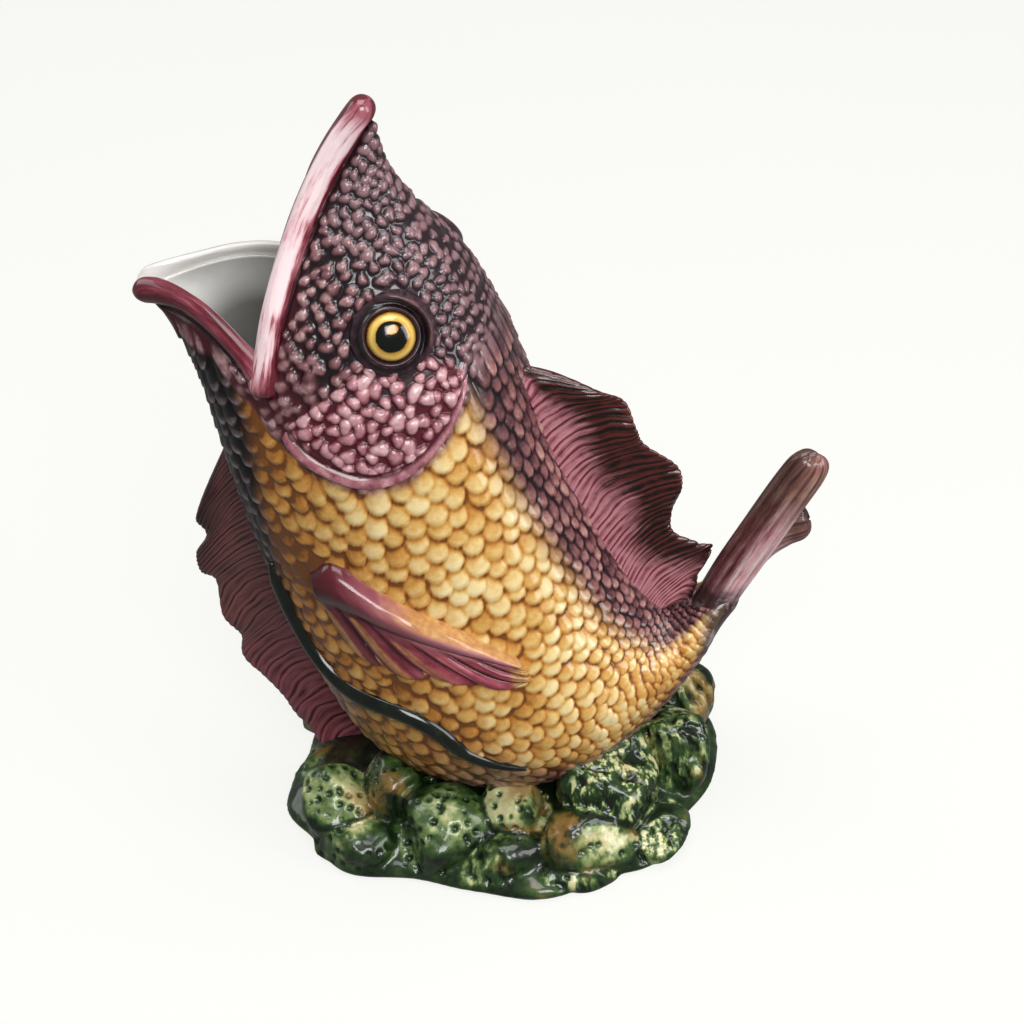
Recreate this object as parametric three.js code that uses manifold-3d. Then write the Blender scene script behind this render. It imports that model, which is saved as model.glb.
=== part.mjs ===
// Fish pitcher: a glazed earthenware jug shaped as a leaping fish on a rock base.
// Millimetres, +Z up. The fish lies in the plane y = 0, mouth toward -X and tail toward +X.

import * as THREE from 'three';
import { mergeVertices } from 'three/addons/utils/BufferGeometryUtils.js';
import Module from 'manifold-3d';

const wasm = await Module();
wasm.setup();

// Driving dimensions
const clearance = 0.3;          // gap between a piece and the piece that it sits on
const wall = 5;                 // thickness of the vessel wall
const hollowEnd = 0.8;          // share of the body's length where the hollow stops
const columns = 32;             // facets round the body

// Size of the fish: top of the snout above the foot, lower lip to tail root, and widest girth
const fishHeight = 266;
const fishLength = 190;
const fishWidth = 106;
// Sections from the lips to the tail root as shares of those sizes: back line and belly line in x, z,
// half width, and how far the section is fuller toward the belly
const stations = [
  { back: [-0.163, 1], belly: [-0.611, 0.744], half: 0.113, full: 0.55 },
  { back: [-0.153, 0.932], belly: [-0.547, 0.711], half: 0.396, full: 0.4 },
  { back: [-0.116, 0.876], belly: [-0.516, 0.662], half: 0.604, full: 0.26 },
  { back: [-0.047, 0.805], belly: [-0.5, 0.594], half: 0.755, full: 0.14 },
  { back: [0.005, 0.722], belly: [-0.484, 0.519], half: 0.849, full: 0.08 },
  { back: [0.042, 0.624], belly: [-0.463, 0.429], half: 0.906, full: 0.05 },
  { back: [0.084, 0.523], belly: [-0.432, 0.331], half: 0.962, full: 0.04 },
  { back: [0.137, 0.425], belly: [-0.389, 0.222], half: 1, full: 0.03 },
  { back: [0.189, 0.346], belly: [-0.305, 0.102], half: 1, full: 0.02 },
  { back: [0.232, 0.297], belly: [-0.158, 0.038], half: 0.943, full: 0 },
  { back: [0.268, 0.278], belly: [0.032, 0.038], half: 0.774, full: 0 },
  { back: [0.305, 0.282], belly: [0.2, 0.105], half: 0.491, full: 0 },
  { back: [0.342, 0.301], belly: [0.311, 0.195], half: 0.283, full: 0 },
  { back: [0.379, 0.323], belly: [0.389, 0.274], half: 0.17, full: 0 },
];
const sectionPower = 0.92;      // below 1 the oval section is a little boxy

// Mouth: the rim runs back from both lip tips to a corner on each cheek
const mouthCornerAngle = 107;   // degrees round the section, from the back
const mouthDepth = 0.2;         // share of the body's length at the corner
const upperRimPower = 2.4;
const lowerRimPower = 2.6;
const cornerSoftness = 70;      // higher makes the corner of the mouth tighter

// Lips: rolls that cap the rim
const upperLipRadius = 4.3;
const lowerLipRadius = 3.4;
const lipRise = 1.6;            // height of the roll's middle above the rim
const spoutBeadRadius = 4.4;    // rounded end of the pouring lip

// Eyes and lids, placed by share of length and angle from the back
const eyePlace = { along: 0.229, angle: 54 };
const eyeRadius = 8.4;
const eyeBulge = 4.6;
const lidRadius = 13.4;
const lidHeight = 4;
const lidSink = 3;              // how deep eye and lid reach into the wall's curve
const browRise = 0.55;          // share by which the lid is higher on the side of the back

// Gill cover: a raised plate between the eye and this edge
const gillEdge = [[0.318, 31], [0.35, 50], [0.36, 68], [0.345, 85], [0.3, 101], [0.246, 110]];
const gillThickness = 1.3;
const gillRidge = 0.9;          // extra height of the rolled edge
const gillRidgePlace = 0.88;    // share of the plate's reach where the roll is highest
const gillRidgeWidth = 0.12;
const gillInnerRadius = 16.5;   // distance of its inner edge from the eye

// Fins in the plane y = 0: roots as shares of the body's length, and outer edges in even steps along the
// root, each a shift toward the tail and a height above the skin
const dorsalRoot = [0.37, 0.74];
const dorsalEdge = [
  [0, 3], [0, 21], [-3, 28], [-4, 29], [-9, 29], [-7, 35], [-10, 34], [-9, 25], [-9, 23], [-3, 30], [1, 26],
  [7, 9],
];
const bellyRoot = [0.265, 0.665];
const bellyEdge = [
  [11, 5], [24, 20], [25, 25], [23, 24], [19, 30], [17, 32], [12, 29], [15, 32], [15, 29], [12, 34], [6, 31],
  [2, 28], [-4, 28], [-14, 27], [-27, 22],
];
const finRootThickness = 9;
const finEdgeThickness = 3.4;
const finSink = 3.5;            // depth of the root below the skin, cut to the body
const finPleats = 9;            // shallow waves along a fin
const finPleatDepth = 0.8;

// Pectoral fins: leaves in relief on the flanks, from root to tip
const pectoralAngle = [116, 60];
const pectoralUpper = [0.405, 0.402, 0.438, 0.478, 0.517, 0.572];
const pectoralLower = [0.475, 0.518, 0.538, 0.557, 0.588, 0.604];
const pectoralThickness = 3.6;
const pectoralRim = 0.5;        // height left at the edge
const pectoralRoll = 2.4;       // extra height of the rolled upper edge
const pectoralRollPlace = 0.14; // share across the leaf where the roll is highest
const pectoralRollWidth = 0.1;
const pectoralLobes = 4;        // rounded ends along the lower edge, each with a ridge
const pectoralLobeDepth = 0.7;
const pectoralLobeLean = 0.12;  // share by which a ridge slants toward the root
const pectoralLobeReach = 0.008;

// Weed strands: tapered bands from the throat down each flank
const weedRoute = [
  [0.4, 141], [0.475, 140], [0.531, 128], [0.568, 107], [0.599, 99], [0.641, 98], [0.695, 93],
];
const weedHalfWidth = 2.3;
const weedHeight = 1.8;
const reliefSink = 1.2;         // depth of a relief below the skin before it is cut to the body

// Tail lobes: flattened bars, their centre lines x, y, z from the tail root as shares of the lobe's reach
const upperTailReach = 62;
const upperTail = [
  [-0.08, -0.02, -0.06], [0.05, -0.03, 0.2], [0.21, -0.06, 0.49], [0.37, -0.08, 0.77], [0.51, -0.08, 1],
];
const upperTailWidth = 15;
const upperTailThickness = 11;
const upperTailRoll = 0.2;      // radians that a lobe is turned about its own line
const lowerTailReach = 25;
const lowerTail = [[-0.16, 0.08, -0.1], [0.2, 0.36, 0.5], [0.6, 0.56, 0.74], [1, 0.72, 0.78]];
const lowerTailWidth = 16;
const lowerTailThickness = 8;
const lowerTailRoll = -0.25;

// Rock base: a wavy skirt rising to a mound with boulders, standing on a flat foot ring
const baseMiddle = -13;         // x of the middle of the base
const baseHalfLength = 75;
const baseHalfWidth = 70;
const baseSquareness = 2.7;     // 2 is an ellipse, more fills its corners
const skirtHeight = 7;
const skirtRound = 2.5;
const skirtWaves = 9;
const skirtWaveDepth = 2.4;
const moundHeight = 24;
const moundSlope = 34;          // distance from the skirt's edge to the mound's top
const footWidth = 14;
const footRecess = 3;
const boulderSize = 17;         // half width of a large boulder
// Boulders on both sides: x, y, z from the middle of the base as shares of its half length, half width and
// mound, then half sizes across, deep and high as shares of the boulder size
const boulders = [
  [-0.69, 0.59, 0.67, 0.88, 0.76, 0.71], [-0.61, 0.74, 0.33, 1.06, 0.71, 0.53],
  [-0.4, 0.54, 0.79, 0.76, 0.71, 0.76], [-0.16, 0.74, 0.5, 1, 0.88, 0.88],
  [0.17, 0.64, 0.67, 0.71, 0.65, 0.82], [0.13, 0.83, 0.29, 1, 0.59, 0.59],
  [0.52, 0.73, 0.46, 1, 0.76, 0.71], [0.6, 0.49, 0.83, 1.18, 1, 1.06],
  [0.45, 0.84, 0.12, 0.94, 0.53, 0.41], [0.79, 0.57, 0.21, 0.82, 0.71, 0.41],
  [0.83, 0.16, 0.75, 0.76, 0.88, 1], [-0.83, 0.2, 0.2, 0.71, 0.88, 0.5],
];
const boulderFacets = [9, 6];
const boulderSkew = 0.3;        // radians that a boulder may lie turned from the base's edge

// Smooth curves through listed values, read by share of length
const curveThrough = (points) => new THREE.CatmullRomCurve3(
  points.map((p) => new THREE.Vector3(p[0], p[1] ?? 0, p[2] ?? 0)), false, 'catmullrom', 0.5,
);
const sideView = ([x, z]) => [x * fishLength, 0, z * fishHeight];
const backLine = curveThrough(stations.map((s) => sideView(s.back)));
const bellyLine = curveThrough(stations.map((s) => sideView(s.belly)));
const girth = curveThrough(stations.map((s) => [(s.half * fishWidth) / 2, s.full]));
const radians = THREE.MathUtils.degToRad;

// A point of the fish's skin: angle 0 is the back, pi the belly, positive angles the far side (+Y).
// Past either end the skin runs on straight. Inward, the wall thins where the lips come to a point.
function skin(along, angle, grow = 0) {
  const share = THREE.MathUtils.clamp(along, 0, 1);
  if (share !== along) {
    const end = skin(share, angle, grow);
    return end.multiplyScalar(2).sub(skin(2 * share - along, angle, grow));
  }
  const back = backLine.getPoint(share);
  const belly = bellyLine.getPoint(share);
  const { x: half, y: full } = girth.getPoint(share);
  const middle = back.clone().add(belly).multiplyScalar(0.5);
  const arm = back.clone().sub(belly).multiplyScalar(0.5);
  arm.setLength(arm.length() + grow);
  const side = Math.sin(angle);
  const point = middle.addScaledVector(arm, Math.cos(angle));
  const sideGrow = grow < 0 ? (grow * half) / (half + wall) : grow;
  const bulge = Math.sign(side) * Math.abs(side) ** sectionPower * (1 - full * Math.cos(angle));
  point.y = (half + sideGrow) * bulge;
  return point;
}

// Direction along the skin toward the tail, and outward from it, from small steps
const skinStep = 0.004;
function skinAlong(along, angle) {
  return skin(along + skinStep, angle).sub(skin(along - skinStep, angle)).normalize();
}
function skinNormal(along, angle) {
  const roundStep = skin(along, angle + 4 * skinStep).sub(skin(along, angle - 4 * skinStep));
  return skinAlong(along, angle).cross(roundStep).normalize();
}

// Share of length where each jaw's edge lies at an angle, and the mouth's rim, the lower of the two, blended
const mouthCorner = radians(mouthCornerAngle);
const turnFromBack = (angle) => (
  Math.abs(THREE.MathUtils.euclideanModulo(angle + Math.PI, 2 * Math.PI) - Math.PI)
);
const upperJaw = (angle) => mouthDepth * (turnFromBack(angle) / mouthCorner) ** upperRimPower;
const lowerJaw = (angle) => (
  mouthDepth * ((Math.PI - turnFromBack(angle)) / (Math.PI - mouthCorner)) ** lowerRimPower
);
function rimAlong(angle) {
  const meet = Math.exp(-cornerSoftness * upperJaw(angle)) + Math.exp(-cornerSoftness * lowerJaw(angle));
  return -Math.log(meet) / cornerSoftness;
}

// Closed mesh from rings of equal count, with a fan over each end
function loft(rings) {
  const count = rings[0].length;
  const positions = rings.flat().flatMap((p) => [p.x, p.y, p.z]);
  const faces = [];
  for (let row = 0; row + 1 < rings.length; row += 1) {
    for (let column = 0; column < count; column += 1) {
      const next = (column + 1) % count;
      const a = row * count + column;
      const b = row * count + next;
      faces.push(a, b, a + count, b, b + count, a + count);
    }
  }
  for (const [row, flip] of [[0, true], [rings.length - 1, false]]) {
    const hub = rings[row].reduce((sum, p) => sum.add(p), new THREE.Vector3()).divideScalar(count);
    const hubIndex = positions.length / 3;
    positions.push(hub.x, hub.y, hub.z);
    for (let column = 0; column < count; column += 1) {
      const a = row * count + column;
      const b = row * count + ((column + 1) % count);
      faces.push(...(flip ? [b, a, hubIndex] : [a, b, hubIndex]));
    }
  }
  return facingOut(positions, faces);
}

// Indexed geometry whose faces point out, whichever way its rings were listed
function facingOut(positions, faces) {
  const corner = (i) => new THREE.Vector3().fromArray(positions, 3 * i);
  let volume = 0;
  for (let f = 0; f < faces.length; f += 3) {
    volume += corner(faces[f]).dot(corner(faces[f + 1]).cross(corner(faces[f + 2])));
  }
  const geometry = new THREE.BufferGeometry();
  geometry.setAttribute('position', new THREE.Float32BufferAttribute(positions, 3));
  geometry.setIndex(volume < 0 ? faces.slice().reverse() : faces);
  return geometry;
}

// Joining and cutting of closed meshes
function solid(geometry) {
  const bare = geometry.clone();
  bare.deleteAttribute('normal');
  bare.deleteAttribute('uv');
  const merged = mergeVertices(bare, 1e-4);
  return new wasm.Manifold(new wasm.Mesh({
    numProp: 3,
    vertProperties: new Float32Array(merged.attributes.position.array),
    triVerts: new Uint32Array(merged.index.array),
  }));
}
// Points that fall together after a cut become one, and faces that collapse with them go
const weld = 0.001;
function geometryOf(manifold) {
  const mesh = manifold.getMesh();
  const cut = new THREE.BufferGeometry();
  cut.setAttribute('position', new THREE.Float32BufferAttribute(mesh.vertProperties, 3));
  cut.setIndex([...mesh.triVerts]);
  const geometry = mergeVertices(cut, weld);
  const corners = [...geometry.index.array];
  const faces = shares(corners.length / 3 - 1).map((_, f) => corners.slice(3 * f, 3 * f + 3));
  geometry.setIndex(faces.filter((face) => new Set(face).size === 3).flat());
  return geometry;
}
// The largest of the loose pieces that a cut leaves
function mainBody(manifold) {
  return manifold.decompose().reduce((best, piece) => (piece.volume() > best.volume() ? piece : best));
}
const shares = (count) => Array.from({ length: count + 1 }, (_, i) => i / count);
const ringAngles = Array.from({ length: columns }, (_, i) => (2 * Math.PI * i) / columns);

// Rings of the skin from the rim of the mouth to a share of the length, moved out by grow
function skinRings(end, count, grow, rimShift) {
  return shares(count).map((s) => ringAngles.map((angle) => {
    const rim = rimAlong(angle) - rimShift;
    return skin(rim + (end - rim) * s, angle, grow);
  }));
}

// Vessel wall: the inner skin from the bottom of the hollow up to the rim, then the outer skin to the tail
const outerRows = 28;
const innerRows = 12;
const endRaise = 1 / 200;       // share of length for each millimetre that a grown end stands out
function vessel(grow = 0) {
  const inner = skinRings(hollowEnd, innerRows, -wall - grow, grow * endRaise);
  const outer = skinRings(1 + grow * endRaise, outerRows, grow, grow * endRaise);
  return loft([...inner.reverse(), ...outer]);
}

// The whole space inside the outer skin, for cutting what is built onto the fish
function bodySpace(grow) {
  return solid(loft(skinRings(1 + grow * endRaise, outerRows, grow, 0)));
}

// Middle of the wall at a jaw's edge
const jawEdge = (jaw, angle, back = 0) => skin(jaw(angle) + back, angle, -wall / 2);

// A roll along a jaw's edge through stops: an angle, a shift straight on from there, a share of the radius
function lipRoll(jaw, stops, radius, grow = 0) {
  const sides = 8;
  const rings = stops.map(({ angle, shift = 0, share = 1 }) => {
    const step = 0.02;
    const tangent = jawEdge(jaw, angle + step).sub(jawEdge(jaw, angle - step)).normalize();
    const out = skinNormal(jaw(angle) + step / 2, angle);
    out.addScaledVector(tangent, -out.dot(tangent)).normalize();
    const rise = new THREE.Vector3().crossVectors(tangent, out);
    const point = jawEdge(jaw, angle);
    if (rise.dot(jawEdge(jaw, angle, step).sub(point)) > 0) rise.negate();
    point.addScaledVector(tangent, shift);
    const reach = radius * share + grow;
    return Array.from({ length: sides }, (_, i) => {
      const turn = (2 * Math.PI * i) / sides;
      return point.clone()
        .addScaledVector(rise, lipRise + reach * Math.cos(turn))
        .addScaledVector(out, reach * Math.sin(turn));
    });
  });
  return solid(loft(rings));
}

// A plate in relief on the skin: place gives share and angle, height its thickness above the skin
function relief(place, height, stepsAlong, stepsAcross) {
  const rings = shares(stepsAlong).map((u) => {
    const row = shares(stepsAcross).map((v) => place(u, v));
    const at = (index, lift) => {
      const [along, angle] = row[index];
      return skin(along, angle).addScaledVector(skinNormal(along, angle), clearance + lift);
    };
    const top = row.map((_, i) => at(i, height(u, i / stepsAcross)));
    const under = row.map((_, i) => at(i, -reliefSink)).reverse();
    return [...top, ...under];
  });
  return geometryOf(mainBody(solid(loft(rings)).subtract(fishSpace)));
}

// A fin in the plane y = 0 between its root on the body and its wavy outer edge
function fin(root, edge, angle, grow = 0) {
  const edgeLine = curveThrough(edge);
  const heights = 3;
  const rings = shares(27).map((u) => {
    const along = THREE.MathUtils.lerp(...root, u);
    const { x: lean, y: height } = edgeLine.getPoint(u);
    const outward = skinNormal(along, angle);
    const tailward = skinAlong(along, angle);
    const foot = skin(along, angle, -finSink);
    const tip = skin(along, angle).addScaledVector(tailward, lean).addScaledVector(outward, height);
    tip.addScaledVector(tip.clone().sub(foot).normalize(), grow);
    const pleat = Math.cos(2 * Math.PI * finPleats * u) * finPleatDepth;
    const profile = shares(heights).map((v) => {
      const half = THREE.MathUtils.lerp(finRootThickness, finEdgeThickness, Math.sqrt(v)) / 2;
      return { point: foot.clone().lerp(tip, v), half: half + grow, lean: pleat * v };
    });
    const near = profile.map(({ point, half, lean }) => new THREE.Vector3(point.x, lean - half, point.z));
    const far = profile.map(({ point, half, lean }) => new THREE.Vector3(point.x, lean + half, point.z));
    return [...near, ...far.reverse()];
  });
  return loft(rings);
}

// A flattened bar along a centre line, rounded at its end
function tailBar(line, reach, width, thickness, roll, grow = 0) {
  const root = backLine.getPoint(1).add(bellyLine.getPoint(1)).multiplyScalar(0.5);
  const path = curveThrough(line.map(([x, y, z]) => [root.x + x * reach, y * reach, root.z + z * reach]));
  const sides = 10;
  const across = new THREE.Vector3(0, 1, 0);
  const rings = shares(9).map((s) => {
    const tangent = path.getTangent(s);
    const wide = new THREE.Vector3().crossVectors(across, tangent).normalize();
    const deep = new THREE.Vector3().crossVectors(tangent, wide);
    wide.applyAxisAngle(tangent, roll);
    deep.applyAxisAngle(tangent, roll);
    const end = Math.sqrt(Math.max(0.12, 1 - s ** 9));
    const swell = 0.8 + 0.2 * Math.sin(Math.PI * s);
    return Array.from({ length: sides }, (_, i) => {
      const turn = (2 * Math.PI * i) / sides;
      return path.getPoint(s)
        .addScaledVector(wide, ((width / 2) * end * swell + grow) * Math.cos(turn))
        .addScaledVector(deep, ((thickness / 2) * end + grow) * Math.sin(turn));
    });
  });
  return loft(rings);
}

// Turned ring or dome set on the skin, its axis along the outward direction, higher toward the fish's back
function setOnSkin(profile, place, sideSign, rise = 0) {
  const angle = sideSign * radians(place.angle);
  const geometry = new THREE.LatheGeometry(profile.map(([r, h]) => new THREE.Vector2(r, h)), 18);
  const turn = new THREE.Quaternion().setFromUnitVectors(
    new THREE.Vector3(0, 1, 0), skinNormal(place.along, angle),
  );
  geometry.applyQuaternion(turn);
  const outward = skinNormal(place.along, angle);
  const backward = outward.clone().cross(skinAlong(place.along, angle)).multiplyScalar(-sideSign);
  const positions = geometry.attributes.position;
  for (let i = 0; i < positions.count; i += 1) {
    const point = new THREE.Vector3().fromBufferAttribute(positions, i);
    const lift = Math.max(0, point.dot(outward)) * rise;
    const towardBack = Math.max(0, point.dot(backward)) / lidRadius;
    point.addScaledVector(outward, lift * towardBack);
    positions.setXYZ(i, point.x, point.y, point.z);
  }
  geometry.translate(...skin(place.along, angle).toArray());
  return solid(geometry);
}

// Lid: a closed ring with a rounded crest, and the eye: a low dome inside it
const lidBore = eyeRadius + clearance;
const lidProfile = [
  [lidBore, -lidSink], [lidRadius, -lidSink], [lidRadius - 0.8, lidHeight * 0.3],
  [(lidBore + lidRadius) / 2, lidHeight * 0.9], [lidBore + 0.9, lidHeight], [lidBore, lidHeight * 0.7],
  [lidBore, -lidSink],
];
const eyeProfile = [
  [0, -lidSink], [eyeRadius, -lidSink], [eyeRadius, 0.6],
  ...shares(5).slice(1).map((s) => [
    s === 1 ? 0 : eyeRadius * Math.cos((s * Math.PI) / 2), 0.6 + eyeBulge * Math.sin((s * Math.PI) / 2),
  ]),
];

// Outline of the base as seen from above, a squarish oval with waves, drawn in by an inset
function baseRing(inset, z) {
  const steps = 45;
  const fill = (value) => Math.sign(value) * Math.abs(value) ** (2 / baseSquareness);
  return Array.from({ length: steps }, (_, i) => {
    const turn = (2 * Math.PI * i) / steps;
    const wave = skirtWaveDepth * (Math.cos(skirtWaves * turn) + 0.5 * Math.cos(5 * turn)) - inset;
    return new THREE.Vector3(
      baseMiddle + (baseHalfLength + wave) * fill(Math.cos(turn)),
      (baseHalfWidth + wave) * fill(Math.sin(turn)),
      z,
    );
  });
}

// Rock base: skirt and boulders joined, flat underneath, with the fish's seat cut out
function rockBase(cutters) {
  const slope = (share) => (
    baseRing(moundSlope * share, THREE.MathUtils.lerp(skirtHeight, moundHeight, share))
  );
  const skirt = loft([
    baseRing(skirtRound / 2, 0), baseRing(0, skirtRound), baseRing(skirtRound / 2, skirtHeight - skirtRound),
    slope(0.2), slope(1),
  ]);
  let rock = solid(skirt);
  for (const sideSign of [-1, 1]) {
    boulders.forEach(([x, y, z, across, deep, high], index) => {
      const stone = new THREE.SphereGeometry(boulderSize, ...boulderFacets);
      stone.rotateX(Math.PI / 2);
      stone.scale(across, deep, high);
      const place = new THREE.Vector3(x * baseHalfLength, sideSign * y * baseHalfWidth, z * moundHeight);
      const outward = Math.atan2(place.y, place.x);
      stone.rotateZ(outward + Math.PI / 2 + boulderSkew * Math.sin(3 * index + sideSign));
      stone.translate(place.x + baseMiddle, place.y, place.z);
      rock = rock.add(solid(stone));
    });
  }
  const room = 400;
  const below = new THREE.BoxGeometry(room, room, room).translate(0, 0, -room / 2);
  const recess = loft([baseRing(footWidth, -1), baseRing(footWidth, footRecess)]);
  rock = rock.subtract(solid(below)).subtract(solid(recess));
  for (const cutter of cutters) rock = rock.subtract(cutter);
  return geometryOf(mainBody(rock));
}

const jug = new THREE.Group();
function addPiece(name, geometry, color, roughness) {
  const piece = new THREE.Mesh(geometry, new THREE.MeshStandardMaterial({ color, roughness, metalness: 0 }));
  piece.name = name;
  jug.add(piece);
}

// Colours of the glazes
const glaze = {
  scales: 0xd2a65c, wine: 0x6b2432, pink: 0xc98f97, aubergine: 0x3d2730, gold: 0xd8a63c, weed: 0x10160f,
  rock: 0x4a6138, brown: 0x7a4a45,
};
const gloss = 0.15;

const vesselSpace = solid(vessel(clearance));
const fishSpace = bodySpace(clearance);
addPiece('body_shell', vessel(), glaze.scales, gloss);

// Lips: each is two rolls joined, at the snout or the spout, and the lower one stops against the upper one
const snoutTurn = 0.3;          // angle from the back where the two upper rolls start to run straight
const lipLap = 0.1;             // radians that the lower rolls run into the corner
const spoutLap = 0.2;           // radians that the two lower rolls run into each other at the spout
function upperLip(grow) {
  const tipReach = jawEdge(upperJaw, snoutTurn).distanceTo(jawEdge(upperJaw, 0));
  const [near, far] = [-1, 1].map((sideSign) => {
    const start = sideSign * snoutTurn;
    const end = sideSign * mouthCorner;
    const roundOff = (angle, way) => [[0, 1], [0.5, 0.85], [0.8, 0.45]].map(([out, share]) => (
      { angle, shift: way * sideSign * (out * upperLipRadius + grow), share }
    ));
    const snout = roundOff(start, -1).map((stop) => ({ ...stop, shift: stop.shift - sideSign * tipReach }));
    const run = shares(14).map((s) => ({ angle: start + (end - start) * s }));
    const stops = [...snout.reverse(), ...run, ...roundOff(end, 1).slice(1)];
    return lipRoll(upperJaw, stops, upperLipRadius, grow);
  });
  return near.add(far);
}
const [lowerNear, lowerFar] = [-1, 1].map((sideSign) => {
  const ends = [sideSign * (mouthCorner - lipLap), sideSign * (Math.PI + spoutLap)];
  const stops = shares(14).map((s) => ({ angle: THREE.MathUtils.lerp(...ends, s) }));
  return lipRoll(lowerJaw, stops, lowerLipRadius);
});
const spoutBead = new THREE.SphereGeometry(spoutBeadRadius, 12, 8).rotateX(spoutLap).rotateZ(lipLap);
spoutBead.translate(...jawEdge(lowerJaw, Math.PI, -lipRise * endRaise).toArray());
const lowerLip = lowerNear.add(lowerFar).add(solid(spoutBead));
addPiece('upper_lip', geometryOf(mainBody(upperLip(0).subtract(vesselSpace))), glaze.pink, gloss);
const lowerCut = lowerLip.subtract(vesselSpace).subtract(upperLip(clearance));
addPiece('lower_lip', geometryOf(mainBody(lowerCut)), glaze.wine, gloss);

// Pieces that come in pairs, near side first
for (const [label, sideSign] of [['right', -1], ['left', 1]]) {
  const lid = setOnSkin(lidProfile, eyePlace, sideSign, browRise).subtract(vesselSpace);
  addPiece(`eyelid_${label}`, geometryOf(mainBody(lid)), glaze.aubergine, gloss);
  const eye = setOnSkin(eyeProfile, eyePlace, sideSign).subtract(vesselSpace);
  addPiece(`eye_${label}`, geometryOf(mainBody(eye)), glaze.gold, gloss);

  const gillLine = curveThrough(gillEdge);
  const gillPlace = (u, v) => {
    const outer = gillLine.getPoint(u);
    const outerPoint = skin(outer.x, radians(outer.y));
    const span = outerPoint.distanceTo(skin(eyePlace.along, radians(eyePlace.angle)));
    const share = THREE.MathUtils.lerp(gillInnerRadius / span, 1, v);
    return [
      THREE.MathUtils.lerp(eyePlace.along, outer.x, share),
      sideSign * radians(THREE.MathUtils.lerp(eyePlace.angle, outer.y, share)),
    ];
  };
  const gillHeight = (u, v) => (
    gillThickness + gillRidge * Math.exp(-(((v - gillRidgePlace) / gillRidgeWidth) ** 2))
  );
  addPiece(`gill_cover_${label}`, relief(gillPlace, gillHeight, 14, 5), glaze.wine, gloss);

  const upperEdge = curveThrough(pectoralUpper.map((along) => [along]));
  const lowerEdge = curveThrough(pectoralLower.map((along) => [along]));
  const lobe = (u, v) => v * Math.sin(Math.PI * u) * (
    Math.cos(2 * Math.PI * pectoralLobes * (u + pectoralLobeLean * v))
  );
  const pectoralPlace = (u, v) => {
    const along = THREE.MathUtils.lerp(upperEdge.getPoint(u).x, lowerEdge.getPoint(u).x, v);
    const angle = sideSign * radians(THREE.MathUtils.lerp(...pectoralAngle, u));
    return [along + pectoralLobeReach * lobe(u, v), angle];
  };
  const pectoralHeight = (u, v) => {
    const crown = Math.sin(Math.PI * Math.sqrt(0.08 + 0.84 * v)) * (0.6 + 0.4 * Math.sin(Math.PI * u));
    const roll = Math.exp(-(((v - pectoralRollPlace) / pectoralRollWidth) ** 2));
    return pectoralRim + pectoralThickness * crown + pectoralRoll * roll + pectoralLobeDepth * lobe(u, v);
  };
  addPiece(`pectoral_fin_${label}`, relief(pectoralPlace, pectoralHeight, 18, 6), glaze.wine, gloss);

  const weedLine = curveThrough(weedRoute);
  const weedRings = shares(20).map((s) => {
    const at = weedLine.getPoint(s);
    const ahead = weedLine.getPoint(Math.min(1, s + 0.01));
    const behind = weedLine.getPoint(Math.max(0, s - 0.01));
    const angle = sideSign * radians(at.y);
    const skinAt = (place) => skin(place.x, sideSign * radians(place.y));
    const tangent = skinAt(ahead).sub(skinAt(behind));
    const out = skinNormal(at.x, angle);
    const across = new THREE.Vector3().crossVectors(out, tangent).normalize();
    const taper = Math.max(0.2, Math.sin(Math.PI * (0.04 + 0.92 * s)) ** 0.7);
    return shares(4).map((v) => {
      const turn = Math.PI * v;
      return skin(at.x, angle)
        .addScaledVector(across, weedHalfWidth * taper * Math.cos(turn))
        .addScaledVector(out, (weedHeight * taper + reliefSink) * Math.sin(turn) + clearance - reliefSink);
    });
  });
  const strand = solid(loft(weedRings)).subtract(fishSpace);
  addPiece(`weed_strand_${label}`, geometryOf(mainBody(strand)), glaze.weed, gloss);
}

// Fins on the back and the belly
const backAngle = 0;
const bellyAngle = Math.PI;
const dorsal = solid(fin(dorsalRoot, dorsalEdge, backAngle)).subtract(fishSpace);
addPiece('dorsal_fin', geometryOf(mainBody(dorsal)), glaze.wine, gloss);
const belly = solid(fin(bellyRoot, bellyEdge, bellyAngle)).subtract(fishSpace);
addPiece('belly_fin', geometryOf(mainBody(belly)), glaze.wine, gloss);

// Tail: the near lobe stands up from the tail root, the far lobe lies behind it
const upperShape = [upperTail, upperTailReach, upperTailWidth, upperTailThickness, upperTailRoll];
const upperLobe = solid(tailBar(...upperShape));
const upperLobeSpace = solid(tailBar(...upperShape, clearance));
const lowerShape = [lowerTail, lowerTailReach, lowerTailWidth, lowerTailThickness, lowerTailRoll];
const lowerLobe = solid(tailBar(...lowerShape));
addPiece('tail_upper_lobe', geometryOf(mainBody(upperLobe.subtract(fishSpace))), glaze.brown, gloss);
addPiece('tail_lower_lobe', geometryOf(mainBody(lowerLobe.subtract(fishSpace).subtract(upperLobeSpace))),
  glaze.brown, gloss);

const bellyFinSpace = solid(fin(bellyRoot, bellyEdge, bellyAngle, clearance));
addPiece('rock_base', rockBase([fishSpace, bellyFinSpace]), glaze.rock, gloss);

// Origin under the middle of the whole jug, on the surface that it stands on
const reach = new THREE.Box3().setFromObject(jug);
jug.position.set(-(reach.min.x + reach.max.x) / 2, -(reach.min.y + reach.max.y) / 2, -reach.min.z);
jug.updateMatrixWorld(true);

export default jug;
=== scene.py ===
import math

import bpy
import numpy as np
from mathutils import Matrix, Vector


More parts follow.
